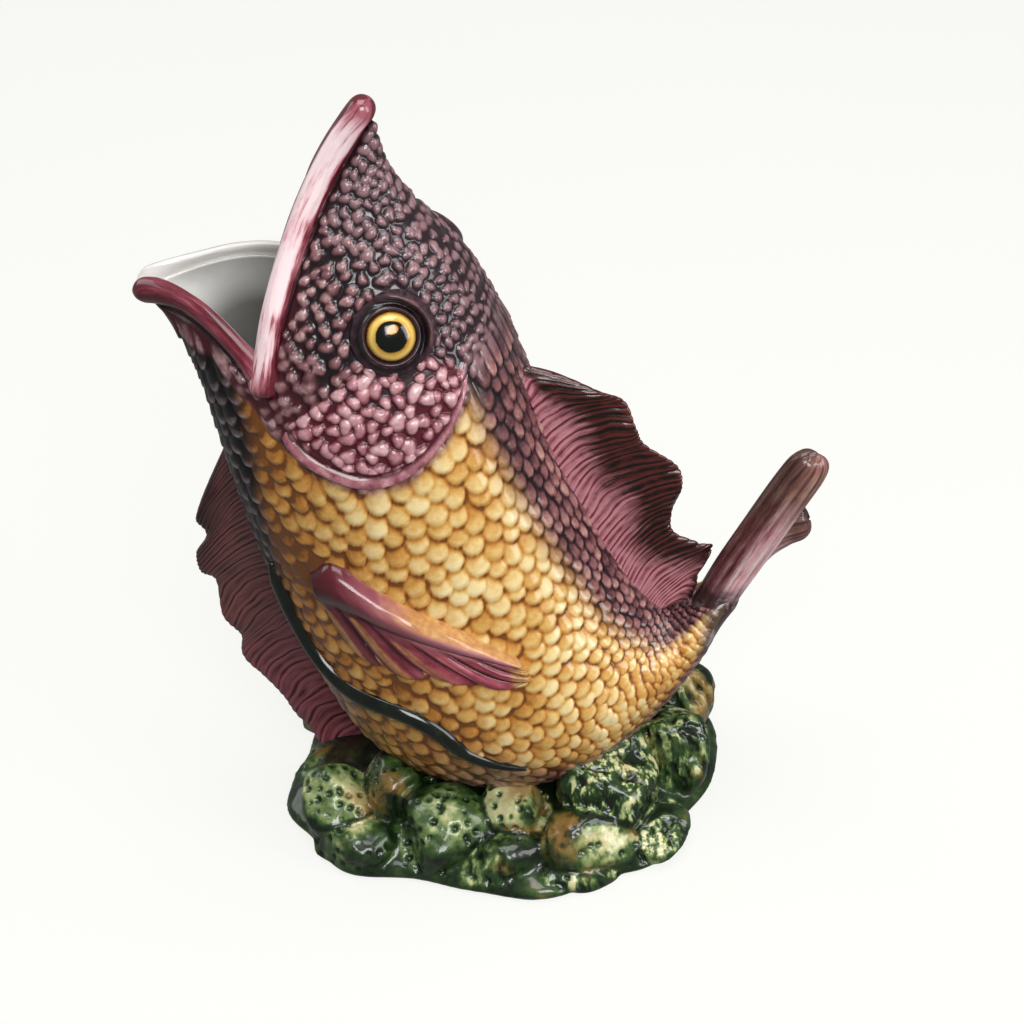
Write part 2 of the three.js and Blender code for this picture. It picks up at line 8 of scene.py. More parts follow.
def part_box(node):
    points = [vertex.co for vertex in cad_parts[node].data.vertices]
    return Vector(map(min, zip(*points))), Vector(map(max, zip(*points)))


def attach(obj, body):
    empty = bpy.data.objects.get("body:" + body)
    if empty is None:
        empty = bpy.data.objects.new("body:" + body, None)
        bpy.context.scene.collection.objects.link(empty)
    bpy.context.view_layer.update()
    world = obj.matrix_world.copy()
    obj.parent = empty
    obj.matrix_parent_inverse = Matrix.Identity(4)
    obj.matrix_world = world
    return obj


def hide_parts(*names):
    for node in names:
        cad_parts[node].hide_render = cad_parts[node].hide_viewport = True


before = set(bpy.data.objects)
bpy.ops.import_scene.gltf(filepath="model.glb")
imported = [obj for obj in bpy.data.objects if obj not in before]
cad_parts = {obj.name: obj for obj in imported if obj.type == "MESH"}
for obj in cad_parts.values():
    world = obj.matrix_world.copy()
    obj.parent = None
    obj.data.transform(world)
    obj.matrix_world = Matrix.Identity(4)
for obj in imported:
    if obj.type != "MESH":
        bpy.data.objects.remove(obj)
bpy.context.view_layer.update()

mm = 0.001
dice = np.random.default_rng(7)


# The fish's skin: lengths in millimetres, places as share of length and angle from the back
fish = {
    "size": (190, 266, 106),  # length, height, width
    "wall": 5,
    "hollowEnd": 0.8,
    "squareness": 0.92,
    "sections": [  # back x, z, belly x, z, half width, fullness toward the belly
        (-0.163, 1, -0.611, 0.744, 0.113, 0.55),
        (-0.153, 0.932, -0.547, 0.711, 0.396, 0.4),
        (-0.116, 0.876, -0.516, 0.662, 0.604, 0.26),
        (-0.047, 0.805, -0.5, 0.594, 0.755, 0.14),
        (0.005, 0.722, -0.484, 0.519, 0.849, 0.08),
        (0.042, 0.624, -0.463, 0.429, 0.906, 0.05),
        (0.084, 0.523, -0.432, 0.331, 0.962, 0.04),
        (0.137, 0.425, -0.389, 0.222, 1, 0.03),
        (0.189, 0.346, -0.305, 0.102, 1, 0.02),
        (0.232, 0.297, -0.158, 0.038, 0.943, 0),
        (0.268, 0.278, 0.032, 0.038, 0.774, 0),
        (0.305, 0.282, 0.2, 0.105, 0.491, 0),
        (0.342, 0.301, 0.311, 0.195, 0.283, 0),
        (0.379, 0.323, 0.389, 0.274, 0.17, 0),
    ],
    "mouthCorner": math.radians(107),
    "mouthDepth": 0.2,
    "rimPowers": (2.4, 2.6),  # upper jaw, lower jaw
    "cornerSoftness": 70,
}


def through(points, share):  # smooth curve through the points
    knots = np.asarray(points, float)
    knots = np.vstack([2 * knots[0] - knots[1], knots, 2 * knots[-1] - knots[-2]])
    spans = len(knots) - 3
    place = np.clip(np.asarray(share, float), 0, 1) * spans
    span = np.minimum(place.astype(int), spans - 1)
    part = (place - span)[..., None]
    before, start, end, after = (knots[span + step] for step in range(4))
    leave = (end - before) / 2
    arrive = (after - start) / 2
    bend = (2 * start - 2 * end + leave + arrive) * part + 3 * end - 3 * start - 2 * leave - arrive
    return (bend * part + leave) * part + start


def blend(low, high, share):
    return low + (high - low) * share


def smooth(low, high, value):  # 0 below low, 1 above high
    share = np.clip((value - low) / (high - low), 0, 1)
    return share * share * (3 - 2 * share)


def bump(value, middle, width):
    return np.exp(-(((value - middle) / width) ** 2))


def unit(vectors):
    return vectors / np.maximum(np.linalg.norm(vectors, axis=-1, keepdims=True), 1e-9)


def dot(first, second):
    return np.sum(first * second, axis=-1)


def fullTurn(count):  # angles round a ring, without the one that closes it
    return np.linspace(0, 2 * math.pi, count + 1)[:-1]


def turned(first, second, angle):  # a pair of axes turned by the angle
    cosine, sine = math.cos(angle), math.sin(angle)
    return first * cosine + second * sine, second * cosine - first * sine


def unitGrid(rows, columns):
    return np.broadcast_arrays(np.linspace(0, 1, rows)[:, None], np.linspace(0, 1, columns)[None, :])


length, height, width = fish["size"]
sections = np.array(fish["sections"]) * (length, height, length, height, width / 2, 1)


def skinWithin(share, angle, grow):
    row = through(sections, share)
    back, belly, half, full = row[..., 0:2], row[..., 2:4], row[..., 4], row[..., 5]
    arm = (back - belly) / 2
    arm = arm * (1 + grow / np.linalg.norm(arm, axis=-1, keepdims=True))
    line = (back + belly) / 2 + arm * np.cos(angle)[..., None]
    side = np.sin(angle)
    sideGrow = grow * half / (half + fish["wall"]) if grow < 0 else grow
    bulge = np.sign(side) * np.abs(side) ** fish["squareness"] * (1 - full * np.cos(angle))
    return np.stack([line[..., 0], (half + sideGrow) * bulge, line[..., 1]], -1)


def skin(along, angle, grow=0.0):  # angle 0 back, pi belly, positive on the far side; runs on past the ends
    along, angle = np.broadcast_arrays(np.asarray(along, float), np.asarray(angle, float))
    share = np.clip(along, 0, 1)
    point = skinWithin(share, angle, grow)
    beyond = share != along
    if beyond.any():
        point = np.where(beyond[..., None], 2 * point - skinWithin(2 * share - along, angle, grow), point)
    return point


def skinFrame(along, angle, step=0.004):  # point, direction to the tail, outward
    tailward = unit(skin(along + step, angle) - skin(along - step, angle))
    around = skin(along, angle + 4 * step) - skin(along, angle - 4 * step)
    return skin(along, angle), tailward, unit(np.cross(tailward, around))


def alongSpeed(along, angle, step=0.004):  # millimetres for the whole share of length
    return np.linalg.norm(skin(along + step, angle) - skin(along - step, angle), axis=-1) / (2 * step)


def upperJaw(angle):
    return fish["mouthDepth"] * (np.abs(angle) / fish["mouthCorner"]) ** fish["rimPowers"][0]


def lowerJaw(angle):
    left = np.maximum(math.pi - np.abs(angle), 0)
    return fish["mouthDepth"] * (left / (math.pi - fish["mouthCorner"])) ** fish["rimPowers"][1]


def rimAlong(angle):
    soft = fish["cornerSoftness"]
    return -np.log(np.exp(-soft * upperJaw(angle)) + np.exp(-soft * lowerJaw(angle))) / soft


tailTipX = skin(1.0, math.pi)[0]
shift = np.array([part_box("body_shell")[1].x / mm - tailTipX, 0, 0])  # from the fish's own frame to the part's
sides = {"right": -1, "left": 1}
eye = {"along": 0.229, "angle": math.radians(54), "radius": 7.9, "seat": 0.4, "dome": 4.4}
gillEdge = np.array([(0.318, 31), (0.35, 50), (0.36, 68), (0.345, 85), (0.3, 101), (0.246, 110)])


# Noise on points, from hashed lattice cells
def hashed(cell, seed):
    cell = cell.astype(np.int64).astype(np.uint32)
    mixed = cell[..., 0] * np.uint32(73856093)
    mixed = mixed ^ cell[..., 1] * np.uint32(19349663) ^ cell[..., 2] * np.uint32(83492791)
    mixed = (mixed ^ np.uint32(seed * 7919 + 13)) * np.uint32(1274126177)
    mixed = (mixed ^ (mixed >> np.uint32(15))) * np.uint32(2246822519)
    return (mixed ^ (mixed >> np.uint32(13))) / 2.0**32


def waves(points, size, seed):  # smooth noise, -1 to 1, with lumps of about this size
    place = points / size
    cell = np.floor(place)
    part = place - cell
    part = part * part * (3 - 2 * part)
    total = 0
    for corner in np.ndindex(2, 2, 2):
        weight = np.prod(np.where(np.array(corner) == 1, part, 1 - part), axis=-1)
        total = total + weight * hashed(cell + corner, seed)
    return 2 * total - 1


def pitDistance(points, size, seed):  # distance to the nearest scattered point, as a share of the cell
    place = points / size
    cell = np.floor(place)
    nearest = np.full(points.shape[:-1], 9.0)
    for step in np.ndindex(3, 3, 3):
        there = cell + np.array(step) - 1
        spot = there + np.stack([hashed(there, seed + axis) for axis in range(3)], -1)
        nearest = np.minimum(nearest, np.linalg.norm(place - spot, axis=-1))
    return nearest


def blurred(field, radius):  # box blur over the grid, edges held
    for axis in (0, 1):
        pad = [(radius + 1, radius) if side == axis else (0, 0) for side in (0, 1)]
        total = np.cumsum(np.pad(field, pad, mode="edge"), axis=axis)
        size = field.shape[axis]
        high = np.take(total, np.arange(2 * radius + 1, 2 * radius + 1 + size), axis=axis)
        low = np.take(total, np.arange(size), axis=axis)
        field = (high - low) / (2 * radius + 1)
    return field


# Meshes from grids of points
def gridNormals(points):
    down = np.gradient(points, axis=0)
    across = np.gradient(points, axis=1)
    return unit(np.cross(down, across))


def linked(name, data):
    thing = bpy.data.objects.new(name, data)
    bpy.context.scene.collection.objects.link(thing)
    return thing


def gridMesh(name, points, layers=None, wrap=False, caps=False, outward=None, normals=None):
    rows, columns = points.shape[:2]
    corners = np.arange(rows * columns).reshape(rows, columns)
    if wrap:
        corners = np.hstack([corners, corners[:, :1]])
    down = np.linspace(0.02, 0.98, rows)[:, None] + 0 * corners
    across = np.linspace(0, 1, corners.shape[1])[None, :] + 0 * corners

    def cells(grid):
        return np.stack([grid[:-1, :-1], grid[:-1, 1:], grid[1:, 1:], grid[1:, :-1]], -1).reshape(-1, 4)

    quads = cells(corners)
    uvs = np.stack([cells(across), cells(down)], -1)
    flat = points.reshape(-1, 3)
    fans = np.zeros((0, 3), int)
    fanUvs = np.zeros((0, 3, 2))
    if caps:
        hubs = np.stack([points[0].mean(0), points[-1].mean(0)])
        flat = np.vstack([flat, hubs])
        for end, (row, level) in enumerate(((0, 0.0), (rows - 1, 1.0))):
            hub = np.full(corners.shape[1] - 1, len(flat) - 2 + end)
            ring = np.stack([corners[row, 1:], corners[row, :-1], hub], -1)
            middle = (across[row, 1:] + across[row, :-1]) / 2
            ringUv = np.stack([across[row, 1:], across[row, :-1], middle], -1)
            levels = np.stack([down[row, 1:], down[row, 1:], np.full(len(middle), level)], -1)
            turn = slice(None) if end == 0 else slice(None, None, -1)
            fans = np.vstack([fans, ring[:, turn]])
            fanUvs = np.vstack([fanUvs, np.stack([ringUv, levels], -1)[:, turn]])
    first = np.cross(flat[quads[:, 2]] - flat[quads[:, 0]], flat[quads[:, 3]] - flat[quads[:, 1]])
    if outward is None:
        away = flat[quads].mean(1) - flat.mean(0)
    else:
        away = np.broadcast_to(outward, points.shape).reshape(-1, 3)[quads[:, 0]]
    if np.sum(dot(first, away)) < 0:
        quads, uvs, fans, fanUvs = quads[:, ::-1], uvs[:, ::-1], fans[:, ::-1], fanUvs[:, ::-1]
    mesh = bpy.data.meshes.new(name)
    mesh.vertices.add(len(flat))
    mesh.vertices.foreach_set("co", ((flat + shift) * mm).astype(np.float32).ravel())
    loops = np.concatenate([quads.ravel(), fans.ravel()])
    mesh.loops.add(len(loops))
    mesh.loops.foreach_set("vertex_index", loops.astype(np.int32))
    starts = np.concatenate([np.arange(len(quads)) * 4, len(quads) * 4 + np.arange(len(fans)) * 3])
    mesh.polygons.add(len(starts))
    mesh.polygons.foreach_set("loop_start", starts.astype(np.int32))
    mesh.update(calc_edges=True)
    mesh.validate()
    mesh.shade_smooth()
    for layer, values in (layers or {}).items():
        values = np.broadcast_to(values, points.shape[:2] + np.shape(values)[2:])
        kind = ("FLOAT_VECTOR", "vector") if values.ndim == 3 else ("FLOAT", "value")
        if caps:
            ends = np.stack([values[0].mean(0), values[-1].mean(0)])
            values = np.concatenate([values.reshape((-1,) + values.shape[2:]), ends])
        store = mesh.attributes.new(layer, kind[0], "POINT")
        store.data.foreach_set(kind[1], np.ascontiguousarray(values, dtype=np.float32).ravel())
    uvMap = mesh.uv_layers.new(name="OFBake")
    uvMap.data.foreach_set("uv", np.concatenate([uvs.reshape(-1), fanUvs.reshape(-1)]).astype(np.float32))
    if normals is not None:
        mesh.normals_split_custom_set_from_vertices(normals.reshape(-1, 3).tolist())
    return linked(name, mesh)


def place(piece, glaze, slot, *nodes):  # the piece stands for these solids of the part
    piece.data.materials.append(glaze)
    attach(piece, "root")
    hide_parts(*nodes)
    print(piece.name, len(piece.data.polygons), "faces")
    return piece


# Shader values: an expression on wires adds its Math nodes, also with a number in front
def operator(operation, swapped=False):
    def run(wire, other):
        first, second = (other, wire) if swapped else (wire, other)
        return wire.glaze.node("ShaderNodeMath", {"operation": operation}, {0: first, 1: second})

    return run


class Wire:
    __add__, __radd__ = operator("ADD"), operator("ADD", True)
    __sub__, __rsub__ = operator("SUBTRACT"), operator("SUBTRACT", True)
    __mul__, __rmul__ = operator("MULTIPLY"), operator("MULTIPLY", True)
    __pow__, __rpow__ = operator("POWER"), operator("POWER", True)
    smaller = operator("MINIMUM")

    def __init__(self, glaze, socket):
        self.glaze = glaze
        self.socket = socket

    def between(self, low, high):  # 0 at low, 1 at high, eased
        sockets = {"Value": self, "From Min": low, "From Max": high}
        return self.glaze.node("ShaderNodeMapRange", {"interpolation_type": "SMOOTHSTEP"}, sockets)


def colour(code):  # six hex digits as they look on a screen, to linear light
    parts = np.array([int(code[i:i + 2], 16) for i in (0, 2, 4)]) / 255
    linear = np.where(parts <= 0.04045, parts / 12.92, ((parts + 0.055) / 1.055) ** 2.4)
    return (*linear.tolist(), 1.0)


# A glossy glaze: a Principled shader under a clear coat
class Glaze:
    def __init__(self, name, gloss=0.3, coat=0.75):
        self.material = bpy.data.materials.new(name)
        self.material.use_nodes = True
        self.tree = self.material.node_tree
        self.shader = self.tree.nodes["Principled BSDF"]
        values = {"Roughness": gloss, "Coat Weight": coat, "Coat Roughness": 0.09, "Specular IOR Level": 0.25}
        self.fill(self.shader.inputs, values)
        self.place = self.node("ShaderNodeTexCoord", output="Object")

    def fill(self, sockets, values):
        for key, value in values.items():
            if isinstance(value, Wire):
                self.tree.links.new(value.socket, sockets[key])
            else:
                sockets[key].default_value = value

    def node(self, kind, settings=None, sockets=None, output=0):
        made = self.tree.nodes.new(kind)
        for key, value in (settings or {}).items():
            if key == "stops":
                stops = made.color_ramp.elements
                while len(stops) < len(value):
                    stops.new(1.0)
                for stop, (position, tint) in zip(stops, value):
                    stop.position = position
                    stop.color = tint
            else:
                setattr(made, key, value)
        self.fill(made.inputs, sockets or {})
        return Wire(self, made.outputs[output])

    def layer(self, name):
        return self.node("ShaderNodeAttribute", {"attribute_name": name}, output="Fac")

    def layers(self, *names):
        return [self.layer(name) for name in names]

    def flow(self):  # painting directions, stored as a vector
        return self.node("ShaderNodeAttribute", {"attribute_name": "flow"}, output="Vector")

    def noise(self, scale, detail=3.0, vector=None, stretch=None, rough=0.55):
        vector = vector or self.place
        if stretch:
            vector = self.node("ShaderNodeVectorMath", {"operation": "MULTIPLY"}, {0: vector, 1: stretch})
        sockets = {"Vector": vector, "Scale": scale, "Detail": detail, "Roughness": rough}
        return self.node("ShaderNodeTexNoise", {}, sockets)

    def mix(self, share, low, high):  # wires or six hex digits
        low, high = (tint if isinstance(tint, Wire) else colour(tint) for tint in (low, high))
        settings = {"data_type": "RGBA", "clamp_factor": True}
        return self.node("ShaderNodeMix", settings, {0: share, 6: low, 7: high}, output=2)

    def ramp(self, value, *stops):
        settings = {"stops": [(position, colour(code)) for position, code in stops]}
        return self.node("ShaderNodeValToRGB", settings, {"Fac": value})

    def finish(self, tint, relief=None, depth=0.0002, coat=None):
        values = {"Base Color": tint}
        if coat is not None:
            values["Coat Weight"] = coat
        if relief is not None:
            sockets = {"Height": relief, "Distance": depth, "Strength": 1.0}
            values["Normal"] = self.node("ShaderNodeBump", {}, sockets)
        self.fill(self.shader.inputs, values)
        return self.material


# Raised shapes pressed over a grid: nodules on the head, overlapping scales on the body
hollowLevel = -0.25  # between the raised shapes
scales = {
    "rowStep": (6.3, 5.6, 3.0),  # along the flank: at the gill, past the middle, at the tail
    "pitch": (7.9, 7.1, 3.2),    # round the body, at the same places
    "places": (0.3, 0.68, 1.0),
    "backPitch": 0.62,           # narrower toward the back
    "half": (1.1, 0.61),         # half length and half width, as shares of step and pitch
    "shortest": 2.0,
    "sizes": (0.92, 1.12),
    "wander": 0.08,
    "turnReach": 50,
    "lift": 0.8,
    "lifts": (0.8, 1.15),
    "dome": 0.75,
    "drop": 0.4,                 # how far the rounded front edge turns down
    "underHead": 0.004,
}
nodules = {
    "face": {"step": 4.0, "pitch": 4.5, "size": (2.25, 2.5), "rise": 1.5},
    "cheek": {"step": 4.4, "pitch": 4.9, "size": (2.75, 3.0), "rise": 1.8},
}
face = {  # where nodules sit
    "end": 0.4, "lowest": 2.1, "fromRim": 5.2, "fromLid": -0.5, "backPitch": 0.85, "wander": (0.15, 0.14),
    "turnReach": 40, "gap": 3.5, "search": ((0.0, 0.37, 0.007), (0.04, 2.1, 0.045)),
}


def headEdge(angle):  # share of length where the head ends
    degrees = np.degrees(np.abs(angle))
    return np.interp(degrees, [0, 31, 50, 68, 85, 101, 110, 116, 130, 180],
                     [0.31, 0.322, 0.352, 0.362, 0.347, 0.302, 0.246, 0.2, 0.12, 0.03])


def rowAngles(along, pitch, offset, backPitch):  # angles and widths of the shapes in one row
    angle = np.linspace(0, math.pi, 181)
    reach = np.linalg.norm(np.diff(skin(along, angle), axis=0), axis=-1)

    def narrow(turn):
        return blend(backPitch, 1.0, smooth(0.3, 0.9, turn))

    counted = np.concatenate([[0], np.cumsum(reach / (pitch * narrow((angle[1:] + angle[:-1]) / 2)))])
    count = max(3, round(counted[-1]))
    spots = (np.arange(count) + 0.25 + offset / 2) / count
    shares = counted / counted[-1]
    return np.interp(spots, shares, angle), pitch * np.interp(spots, shares, narrow(angle))


def scaleStamps():
    stamps = []
    along, row = 0.0, 0
    while along < 1.0:
        step, pitch = (float(np.interp(along, scales["places"], scales[name])) for name in ("rowStep", "pitch"))
        angles, widths = rowAngles(along, pitch, row % 2, scales["backPitch"])
        share = step / alongSpeed(along, math.pi / 2)
        wander = dice.normal(0, scales["wander"], (len(angles), 2))
        for angle, wide, (first, second) in zip(angles, widths, wander):
            at = along + first * share
            angle = angle + second * wide / scales["turnReach"]
            size = dice.uniform(*scales["sizes"])
            long = scales["half"][0] * share * alongSpeed(at, angle) * size
            stamps.append({
                "kind": "scale", "along": at, "angle": angle, "long": max(scales["shortest"], long),
                "wide": scales["half"][1] * wide * size, "turn": dice.normal(0, scales["wander"]),
                "lift": scales["lift"] * dice.uniform(*scales["lifts"]), "tone": dice.uniform(0, 1),
            })
        along += float(share)
        row += 1
    return [s for s in stamps if s["along"] > headEdge(s["angle"]) - scales["underHead"]]


def onCheek(along, angle):  # below and behind the eye
    return (along - eye["along"]) * 220 + (math.degrees(angle) - 54) * 0.75 > 12


def noduleStamp(spec, at, angle):
    size = dice.uniform(0.8, 1.12)
    crown = float(smooth(0.75, 0.35, angle))
    return {
        "kind": "nodule", "along": at, "angle": angle,
        "long": spec["size"][0] * size * dice.uniform(0.85, 1.15),
        "wide": spec["size"][1] * size * dice.uniform(0.85, 1.2), "turn": dice.normal(0, 0.5),
        "lift": spec["rise"] * blend(1.0, 0.7, crown) * dice.uniform(0.75, 1.1), "tone": dice.uniform(0, 1),
    }


def onFace(at, angle):  # clear of the lips, the eyelid and the first scales
    centre, tailward, backward = eyeFrame(1)[:3]
    fromRim = (at - rimAlong(angle)) * alongSpeed(at, angle)
    away = skin(at, angle) - centre
    fromLid = np.linalg.norm(away) - lidReach(math.atan2(away @ backward, away @ tailward))
    clear = fromRim > face["fromRim"] and fromLid > face["fromLid"]
    return clear and angle < face["lowest"] and at < headEdge(angle)


def noduleStamps():
    stamps = []
    for kind, spec in nodules.items():
        along, row = 0.0, 0
        while along < face["end"]:
            share = spec["step"] / alongSpeed(along, math.pi / 2)
            for angle, wide in zip(*rowAngles(along, spec["pitch"], row % 2, face["backPitch"])):
                at = along + dice.normal(0, face["wander"][0]) * share
                angle = angle + dice.normal(0, face["wander"][1]) * wide / face["turnReach"]
                if onFace(at, angle) and onCheek(at, angle) == (kind == "cheek"):
                    stamps.append(noduleStamp(spec, at, angle))
            along += float(share)
            row += 1
    centres = [skin(s["along"], s["angle"]) for s in stamps]
    alongs, angles = (np.arange(*reach) for reach in face["search"])
    for at in alongs:  # more nodules where the rows left a gap
        for angle in angles:
            spot = skin(at, angle)
            if onFace(at, angle) and np.min(np.linalg.norm(centres - spot, axis=-1)) > face["gap"]:
                stamps.append(noduleStamp(nodules["cheek" if onCheek(at, angle) else "face"], at, angle))
                centres.append(spot)
    return stamps


def stampShapes(points, stamps, mirror, window=None):
    layers = {name: np.zeros(points.shape[:2]) for name in ("tip", "tone", "rise")}
    layers["height"] = np.full(points.shape[:2], hollowLevel)
    along = np.array([s["along"] for s in stamps])
    angle = mirror * np.array([s["angle"] for s in stamps])
    centres, tailward, outward = skinFrame(along, angle)
    roundward = np.cross(outward, tailward)
    for index, stamp in enumerate(stamps):
        reach = 1.6 * max(stamp["long"], stamp["wide"])
        area = window(along[index], angle[index], reach) if window else (slice(None), slice(None))
        if area is None:
            continue
        away = points[area] - centres[index]
        tip, side = turned(away @ tailward[index], away @ roundward[index], stamp["turn"])
        tip, side = tip / stamp["long"], side / stamp["wide"]
        if stamp["kind"] == "nodule":
            wobble = np.arctan2(side, tip)
            size = 1 + 0.13 * np.cos(2 * wobble + 9 * stamp["tone"])
            size = size + 0.09 * np.cos(3 * wobble + 5 * stamp["turn"])
            far = np.clip((tip * tip + side * side) / size**2, 0, 1)
            rise = (1 - far) ** 0.85
            level = stamp["lift"] * rise + hollowLevel
        else:
            far = np.where(tip > 0, tip * tip, (tip / 1.5) ** 2) + np.abs(side) ** 2.3
            rise = 1 - np.clip(far, 0, 1)
            level = stamp["lift"] * tip + scales["dome"] * (1 - side * side)
            level = level - scales["drop"] * smooth(0.78, 1.0, far)
        won = (far < 1) & (level > layers["height"][area])
        for name, values in {"tip": tip, "tone": stamp["tone"], "rise": rise, "height": level}.items():
            layers[name][area] = np.where(won, values, layers[name][area])
    return layers


# Body: two halves of the outer skin, meeting on the lines of the back and the belly
body = {
    "rows": 768, "columns": 384, "rowEase": 0.28, "groove": 1.0, "sink": 0.55, "overlap": 0.25,
    "bands": {"head": (0, 260), "flank": (260, 520), "tail": (520, 768)},  # rows of each piece
    "pinch": 2.6, "endRows": 8, "endDome": 4.5,  # the end of the stalk
}


def skinGrid(mirror):
    columns = np.arange(-2, body["columns"] + 3) / body["columns"] * math.pi
    rows = np.linspace(0, 1, body["rows"] + 1)
    rows = rows * (1 - body["rowEase"]) + body["rowEase"] * rows**2
    rim = rimAlong(np.clip(columns, 0, math.pi))
    along = rim[None, :] + (1 - rim[None, :]) * rows[:, None]
    angle = np.broadcast_to(mirror * columns, along.shape)
    return along, angle


def windowFinder(along, angle, mirror):
    columnAngles = mirror * angle[0]

    def window(at, turn, reach):
        turn = mirror * turn
        spread = reach / max(np.linalg.norm(skin(at, turn + 0.01) - skin(at, turn - 0.01)) / 0.02, 6)
        first, last = np.searchsorted(columnAngles, [turn - spread, turn + spread])
        if last <= first:
            return None
        share = reach / max(float(alongSpeed(np.array(at), np.array(turn))), 40)
        picked = [first, (first + last) // 2, min(last, len(columnAngles) - 1)]
        low = min(np.searchsorted(along[:, column], at - share) for column in picked)
        high = max(np.searchsorted(along[:, column], at + share) for column in picked)
        return (slice(low, high), slice(first, last)) if high > low else None

    return window


def bodyZones(along, angle):
    degrees = np.degrees(np.abs(angle))
    head = smooth(0.012, -0.004, along - headEdge(angle))
    backLine = np.interp(along, [0.08, 0.2, 0.3, 0.343, 0.532, 0.715, 0.976], [60, 48, 40, 36, 28, 23, 38])
    backTone = smooth(9, -7, degrees - backLine)
    throatLine = np.interp(along, [0.0, 0.2, 0.3, 0.4, 0.5, 0.62, 0.8], [108, 118, 126, 134, 146, 152, 175])
    throat = smooth(-5, 8, degrees - throatLine)
    return {
        "headTone": head, "backTone": backTone, "throatTone": throat, "stalkTone": smooth(0.895, 0.95, along),
        "lowTone": smooth(72, 128, degrees), "rootTone": smooth(0.6, 0.7, along) * smooth(84, 104, degrees),
    }


def fishSide(label, mirror, stamps, glaze):
    along, angle = skinGrid(mirror)
    flat, tailward, outward = skinFrame(along, angle)
    near = [dict(s, angle=-s["angle"]) for s in stamps if s["angle"] < body["overlap"]]
    past = [dict(s, angle=2 * math.pi - s["angle"]) for s in stamps if s["angle"] > math.pi - body["overlap"]]
    layers = stampShapes(flat, stamps + near + past, mirror, windowFinder(along, angle, mirror))
    relief = blurred(layers.pop("height"), 1)
    layers = {name: blurred(values, 1) for name, values in layers.items()}
    fromRim = (along - rimAlong(angle)) * alongSpeed(along, angle)
    relief = relief * smooth(0.5, 5.0, fromRim) - body["groove"] * bump(fromRim, 3.4, 1.5)
    pinch = body["pinch"] * smooth(0.94, 1.0, along) * np.abs(np.sin(angle))
    relief = relief * (1 - smooth(0.91, 0.98, along)) - body["sink"] - pinch + 0.25 * waves(flat, 14, 3)
    points = flat + outward * relief[..., None]
    # pool: darker where the relief sits lower than around it, the glaze pooling in the steps together with
    # painted shade under the scale edges
    layers["pool"] = np.clip((blurred(relief, 3) - relief) * 3.2 + 0.05, 0, 1)
    layers.update(bodyZones(along, angle))
    layers["lipShade"] = smooth(7.0, 3.0, fromRim)
    fromEye = np.linalg.norm(flat - skin(eye["along"], mirror * eye["angle"]), axis=-1)
    layers["cheek"] = smooth(22, 40, fromEye) * smooth(1.15, 1.5, np.abs(angle))
    normals = gridNormals(points)
    normals = normals * np.sign(np.mean(dot(normals, outward)))
    for band, (first, last) in body["bands"].items():
        crop = (slice(first, last + 1), slice(2, -2))
        cropped = {name: values[crop] for name, values in layers.items()}
        shape, facing = points[crop], normals[crop]
        if band == "tail":  # the end of the stalk is closed by a dome
            ending, ahead = shape[-1:] - tailRoot, tailward[-1:, 2:-2]
            turns = np.linspace(0, math.pi / 2, body["endRows"] + 1)[1:]
            dome = [tailRoot + ending * math.cos(turn) + ahead * body["endDome"] * math.sin(turn)
                    for turn in turns]
            shape = np.concatenate([shape, *dome])
            for name, values in cropped.items():
                cropped[name] = np.concatenate([values] + [values[-1:]] * len(dome))
            facing = np.concatenate([facing, *[unit(rows - tailRoot + ahead) for rows in dome]])
        piece = gridMesh("fish_" + band + "_" + label, shape, cropped, outward=facing, normals=facing)
        place(piece, glaze, "scale_glaze", "body_shell")


# Over their own pink on a dark ground, nodules get lighter toward their tops as a painted highlight and darker
# at their feet and in pooled hollows as painted shade
def noduleTint(g, brush, ground, flush, *pinks):  # dark between the nodules, pink on them; how far they swell
    tone, rise, pool = g.layers("tone", "rise", "pool")
    swell = rise + (brush - 0.5) * 0.4 + (tone - 0.5) * 0.25 - pool * 0.3
    tint = g.mix(swell.between(0.05, 0.5), ground, flush)
    pink = g.ramp(brush * 0.8 + tone * 0.3, *pinks)
    return g.mix(swell.between(0.35, 0.95), tint, pink), swell


def stalkClouds(g):  # pale clouds on dark, from the stalk over to the tail
    return g.ramp(g.noise(120, 4.0), (0.4, "150a0e"), (0.55, "3a2029"), (0.66, "b9a5a6"), (0.74, "4f2c36"))


